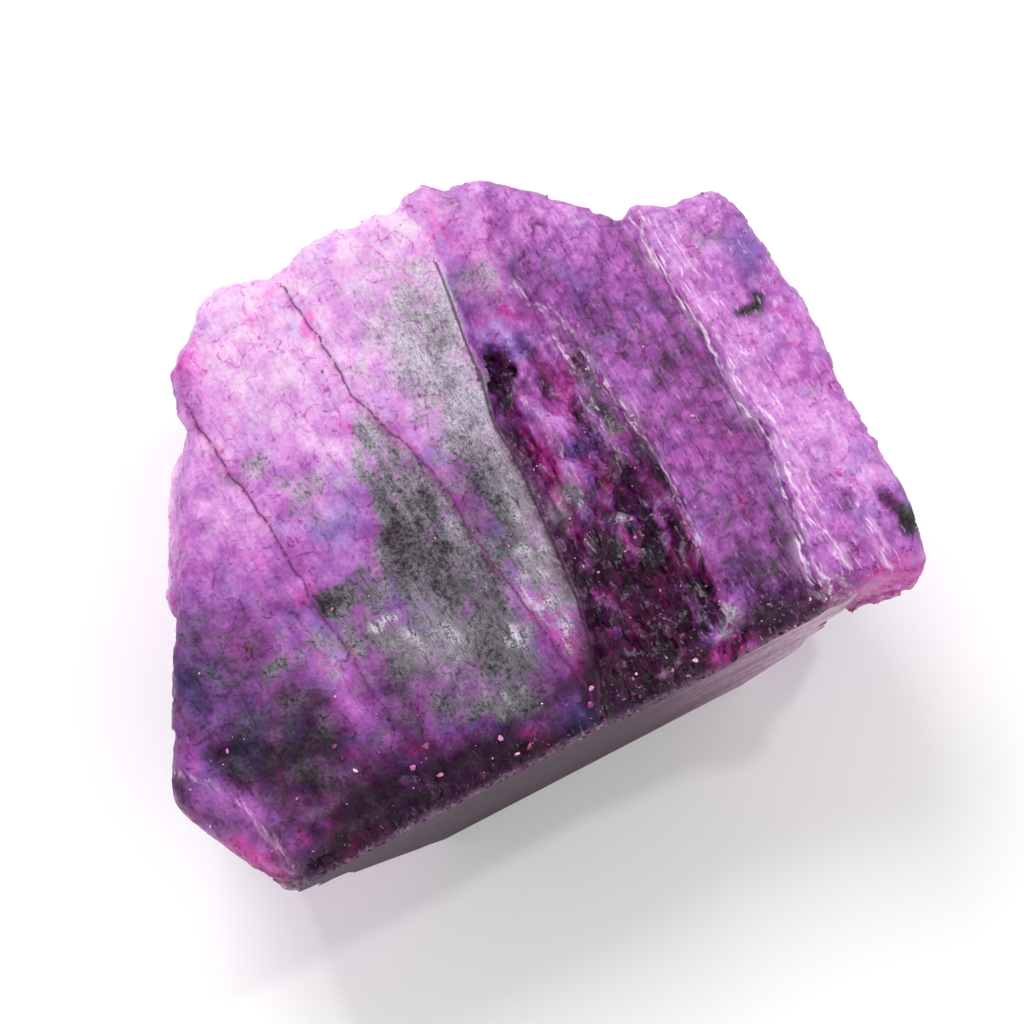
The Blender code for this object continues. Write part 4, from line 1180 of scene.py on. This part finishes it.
# %% The material of the sawn faces
def sawn_rock():
    """Flat and scratched, so it looks dull and even beside the broken faces."""
    material, tree, shader = new_material("sawn_purple_rock")
    place, clouds = grain_of(tree)
    bands = put(tree, "ShaderNodeMapping", {"Vector": place, "Scale": (0.3, 0.3, 1.6)})
    soft = clouds(2.4, 4.0, where=bands)
    # Painted sheen: the wall grows lighter towards its right end.
    sheen_to_right = put(tree, "ShaderNodeSeparateXYZ", {"Vector": place}).rise(2.0, 20.0)
    tone_and_sheen = (soft - 0.5) * 0.5 + (clouds(0.4, 4.0) - 0.5) * 0.5 + sheen_to_right * 0.55 + 0.42
    stops = [(0.15, "#24141F"), (0.4, "#382231"), (0.6, "#4F3346"), (0.85, "#8E6C85"), (1.0, "#C3A7BC")]
    colour = put(tree, "ShaderNodeValToRGB", {"Fac": tone_and_sheen}, stops=stops)
    # The grit's own lines are some hundredths of a millimetre apart, and are drawn coarser, to show.
    lines = put(tree, "ShaderNodeMapping", {"Vector": place, "Scale": (0.05, 0.05, 1.0)})
    height = (clouds(0.25, 2.0, where=lines) - 0.5) * 0.3 + (clouds(0.2, 2.0) - 0.5) * 0.2
    bump = put(tree, "ShaderNodeBump", {"Strength": 0.4, "Distance": 0.2 * MM, "Height": height})
    fill(tree, shader, {"Base Color": colour, "Normal": bump})
    fill(tree, shader, {"Roughness": 0.6, "Specular IOR Level": 0.3})
    return material


skin.data.materials.append(sawn_rock())
print("materials of the skin:", [material.name for material in skin.data.materials])

# %% Which faces are sawn
FLAT_WITHIN = 0.02  # how exactly a sawn face lies on its plane
facing = np.array(saw_direction())
for face in skin.data.polygons:
    centre = np.array(face.center) / MM
    in_front = abs(centre @ facing - SAW_OFFSET) < FLAT_WITHIN and np.dot(face.normal, facing) > 0.99
    sawn = in_front or centre[2] < FLAT_WITHIN and face.normal.z < -0.99
    face.material_index = int(sawn)
    face.use_smooth = not sawn
print("sawn faces:", sum(face.material_index for face in skin.data.polygons))
move_points(skin.data, mesh_points(skin.data)[0] - np.array((CENTRE[0], CENTRE[1], 0.0)))
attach(skin, "root")
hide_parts("rough_sapphire")

# %% [markdown]
# ## Loose crystals and crushed grains
#
# Splitting and sawing left crumbs on the stone: a few clear or pink crystals up to a millimetre wide,
# and hundreds of grains of crushed rock, finest on the shoulder and in the trough where they lodge.
# They are one joined mesh of small, unevenly stretched icosahedrons, each sunk a third of its height
# into the skin, so that they catch the light as real crumbs do.

# %% Crumbs on the stone
CRYSTALS = [
    (-14.1, -13.5, 0.2), (-13.5, -14.3, 0.26), (-12.8, -15.3, 0.2), (2.8, -9.7, 0.26), (2.8, -10.9, 0.3),
    (5.7, -10.1, 0.2), (6.1, -10.3, 0.18), (-8.1, -13.5, 0.22), (-8.9, -14.8, 0.24), (-7.1, -15.5, 0.24),
    (-3.0, -13.0, 0.28), (-2.0, -14.1, 0.24), (-1.1, -13.5, 0.3), (5.8, 0.1, 0.22), (9.8, -8.0, 0.22),
    (8.2, -8.6, 0.18), (-16.1, -4.1, 0.16), (5.4, 1.3, 0.2), (12.0, -5.6, 0.32), (12.2, -6.3, 0.24),
    (-21.0, -13.9, 0.2), (14.5, -4.2, 0.16), (17.2, -3.9, 0.16), (9.6, 8.2, 0.14), (1.6, 10.3, 0.16),
]
GRAINS = 420
GRAIN_SIZES = (0.04, 0.1)
SUNK = 0.35
print("crystals and grains:", len(CRYSTALS), GRAINS)


# %% Shape and seats of the crumbs
def crumb_shape():
    """The points and faces of an icosahedron of radius 1."""
    bm = bmesh.new()
    bmesh.ops.create_icosphere(bm, subdivisions=1, radius=1.0)
    corners = np.array([vertex.co[:] for vertex in bm.verts])
    faces = np.array([[vertex.index for vertex in face.verts] for face in bm.faces])
    bm.free()
    return corners, faces


def scatter(rng):
    """The skin's points where grains lodge, more of them where the rock is broken."""
    exposed = on_top * free * (0.15 + 0.5 * trough + 0.6 * shoulder)
    return rng.choice(len(points), size=GRAINS, replace=False, p=exposed / exposed.sum())


# %% One mesh of crumbs
def make_crumbs(rng):
    """Every crystal and grain, unevenly stretched, turned at random and seated on the skin."""
    skin_points, skin_normals = mesh_points(skin.data)
    chosen = [int(np.argmin((s - across) ** 2 + (t - up) ** 2 + 99.0 * side)) for across, up, _ in CRYSTALS]
    sizes = [size for _, _, size in CRYSTALS]
    chosen += list(scatter(rng))
    sizes += list(rng.uniform(*GRAIN_SIZES, GRAINS) * rng.choice((0.7, 1.0, 1.4), GRAINS))
    corners, faces = crumb_shape()
    all_corners, all_faces, paleness = [], [], []
    for count, (index, size) in enumerate(zip(chosen, sizes)):
        turn = Vector(rng.normal(size=3)).rotation_difference(Vector(rng.normal(size=3))).to_matrix()
        shape = corners * rng.uniform(0.45, 1.3, 3) * rng.uniform(0.6, 1.2, (len(corners), 1))
        seat = skin_points[index] + skin_normals[index] * size * (1.0 - SUNK) * 0.5
        all_corners.append(shape @ np.array(turn) * size + seat)
        all_faces.append(faces + count * len(corners))
        paleness += [rng.uniform()] * len(corners)
    mesh = bpy.data.meshes.new("crumbs")
    mesh.from_pydata((np.vstack(all_corners) * MM).tolist(), [], np.vstack(all_faces).tolist())
    mesh.attributes.new("paleness", "FLOAT", "POINT").data.foreach_set("value", paleness)
    print("crumbs:", len(chosen), "with", len(mesh.polygons), "faces")
    return add_object("loose_crumbs", mesh)


# %% The crumbs' material
def crushed_rock():
    """Clear to pink crystal: glassy, so each crumb shows a bright face or two."""
    material, tree, shader = new_material("crushed_rock_crystal")
    paleness = put(tree, "ShaderNodeAttribute", output="Fac", attribute_name="paleness")
    stops = [(0.0, "#4A1038"), (0.35, "#8F2F72"), (0.6, "#C96DB0"), (0.85, "#D79BCB"), (1.0, "#EBD0E5")]
    colour = put(tree, "ShaderNodeValToRGB", {"Fac": paleness}, stops=stops)
    fill(tree, shader, {"Base Color": colour, "Roughness": 0.3, "IOR": 1.6})
    return material


crumbs = make_crumbs(np.random.default_rng(7))
crumbs.data.materials.append(crushed_rock())
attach(crumbs, "root")

# %% [markdown]
# ## Floor
#
# A plain pale floor, a shade under white and quite matt, so that it takes only a soft shadow where
# the stone stands on it.

# %% The floor
FLOOR_SIZE = 1.6  # in metres
FLOOR_DROP = 0.02 * MM


def make_floor():
    """A matt card: with hardly any gloss, it shows no reflection of the stone."""
    bm = bmesh.new()
    bmesh.ops.create_grid(bm, x_segments=8, y_segments=8, size=FLOOR_SIZE / 2)
    bmesh.ops.translate(bm, verts=bm.verts[:], vec=(0.0, 0.0, -FLOOR_DROP))
    mesh = bpy.data.meshes.new("floor")
    bm.to_mesh(mesh)
    bm.free()
    material, tree, shader = new_material("matt_white_card")
    _, clouds = grain_of(tree)
    stops = [(0.3, "#F0F0F0"), (0.7, "#F4F4F4")]
    colour = put(tree, "ShaderNodeValToRGB", {"Fac": clouds(60.0, 2.0)}, stops=stops)
    fill(tree, shader, {"Base Color": colour, "Roughness": 0.9, "Specular IOR Level": 0.1})
    mesh.materials.append(material)
    return add_object("floor", mesh)


make_floor()
print("the floor's width, in metres:", FLOOR_SIZE)

# %% [markdown]
# ## Light
#
# A white light tent with a dim top, whose front is half as bright as its sides: the bright sides keep
# the shadows soft and show as glints on tilted facets, and the dim top keeps the dark hollows from
# washing out. One large soft light high at the back left lights the ridges' left faces, whose white edges
# are partly painted highlight, and gives the stone its soft shadow. A weaker one in front lightens the
# hollows without showing in the gloss, and two small ones at the back make the finest glints.

# %% The light tent
TENT_SIDE, TENT_TOP, TENT_FRONT = 1.6, 0.2, 0.45
scene = bpy.context.scene
world = bpy.data.worlds.new("light_tent")
world.use_nodes = True
direction = put(world.node_tree, "ShaderNodeTexCoord", output="Generated")
direction = put(world.node_tree, "ShaderNodeSeparateXYZ", {"Vector": direction})
front_to_back = direction.other("Y").rise(-0.6, 0.2) * (1.0 - TENT_FRONT) + TENT_FRONT
strength = direction.other("Z").rise(0.8, 0.4) * front_to_back * (TENT_SIDE - TENT_TOP) + TENT_TOP
background = world.node_tree.nodes["Background"]
fill(world.node_tree, background, {"Strength": strength, "Color": (1.0, 1.0, 1.0, 1.0)})
scene.world = world
scene.view_settings.view_transform = "Standard"
print("the tent's sides, top and front:", TENT_SIDE, TENT_TOP, TENT_TOP + (TENT_SIDE - TENT_TOP) * TENT_FRONT)


# %% The lights
def add_light(name, place, size, watts):
    """A soft, square light that faces the stone."""
    light = bpy.data.lights.new(name, "AREA")
    light.size = size
    light.energy = watts
    lamp = bpy.data.objects.new(name, light)
    lamp.location = place
    lamp.rotation_euler = Vector(place).to_track_quat("Z", "Y").to_euler()
    scene.collection.objects.link(lamp)
    return lamp


add_light("key", (-0.15, 0.25, 0.48), 0.26, 1.45)
add_light("front_fill", (0.1, -0.3, 0.5), 0.3, 1.0).visible_glossy = False
add_light("glint_left", (-0.3, 0.32, 0.36), 0.03, 0.4)
add_light("glint_right", (0.22, 0.1, 0.5), 0.03, 0.4)
print("lights:", [light.name for light in bpy.data.lights])

# %% [markdown]
# ## Camera
#
# The camera looks down at the stone from 70 degrees above the table, straight along the leaning
# plan's own axis, from 300 mm away. The stone's middle lies a little right of and below the frame's.

# %% The camera
CAMERA_REACH = 300.0
MM_PER_PIXEL = 50.0 / 760.0  # the stone is 50 mm and 760 pixels wide
MIDDLE_PIXEL = (548.0, 540.0)  # where the middle of the top lies in the frame
IMAGE_MIDDLE = 512.0
FRAME_MM = 2.0 * IMAGE_MIDDLE * MM_PER_PIXEL

up = Vector((0.0, math.cos(PLAN_LEAN), math.sin(PLAN_LEAN)))
out = Vector((0.0, -math.sin(PLAN_LEAN), math.cos(PLAN_LEAN)))
top_middle = Vector((-CENTRE[0], -CENTRE[1], TOP_HEIGHT))
aim = top_middle + Vector((1.0, 0.0, 0.0)) * (IMAGE_MIDDLE - MIDDLE_PIXEL[0]) * MM_PER_PIXEL
aim += up * (MIDDLE_PIXEL[1] - IMAGE_MIDDLE) * MM_PER_PIXEL
lens = bpy.data.cameras.new("camera")
lens.sensor_width = 36.0
lens.lens = lens.sensor_width * CAMERA_REACH / FRAME_MM
lens.clip_start = 0.01
camera = bpy.data.objects.new("camera", lens)
camera.location = (aim + out * CAMERA_REACH) * MM
camera.rotation_euler = (PLAN_LEAN, 0.0, 0.0)
scene.collection.objects.link(camera)
scene.camera = camera
print("the lens, in mm:", round(lens.lens, 1))
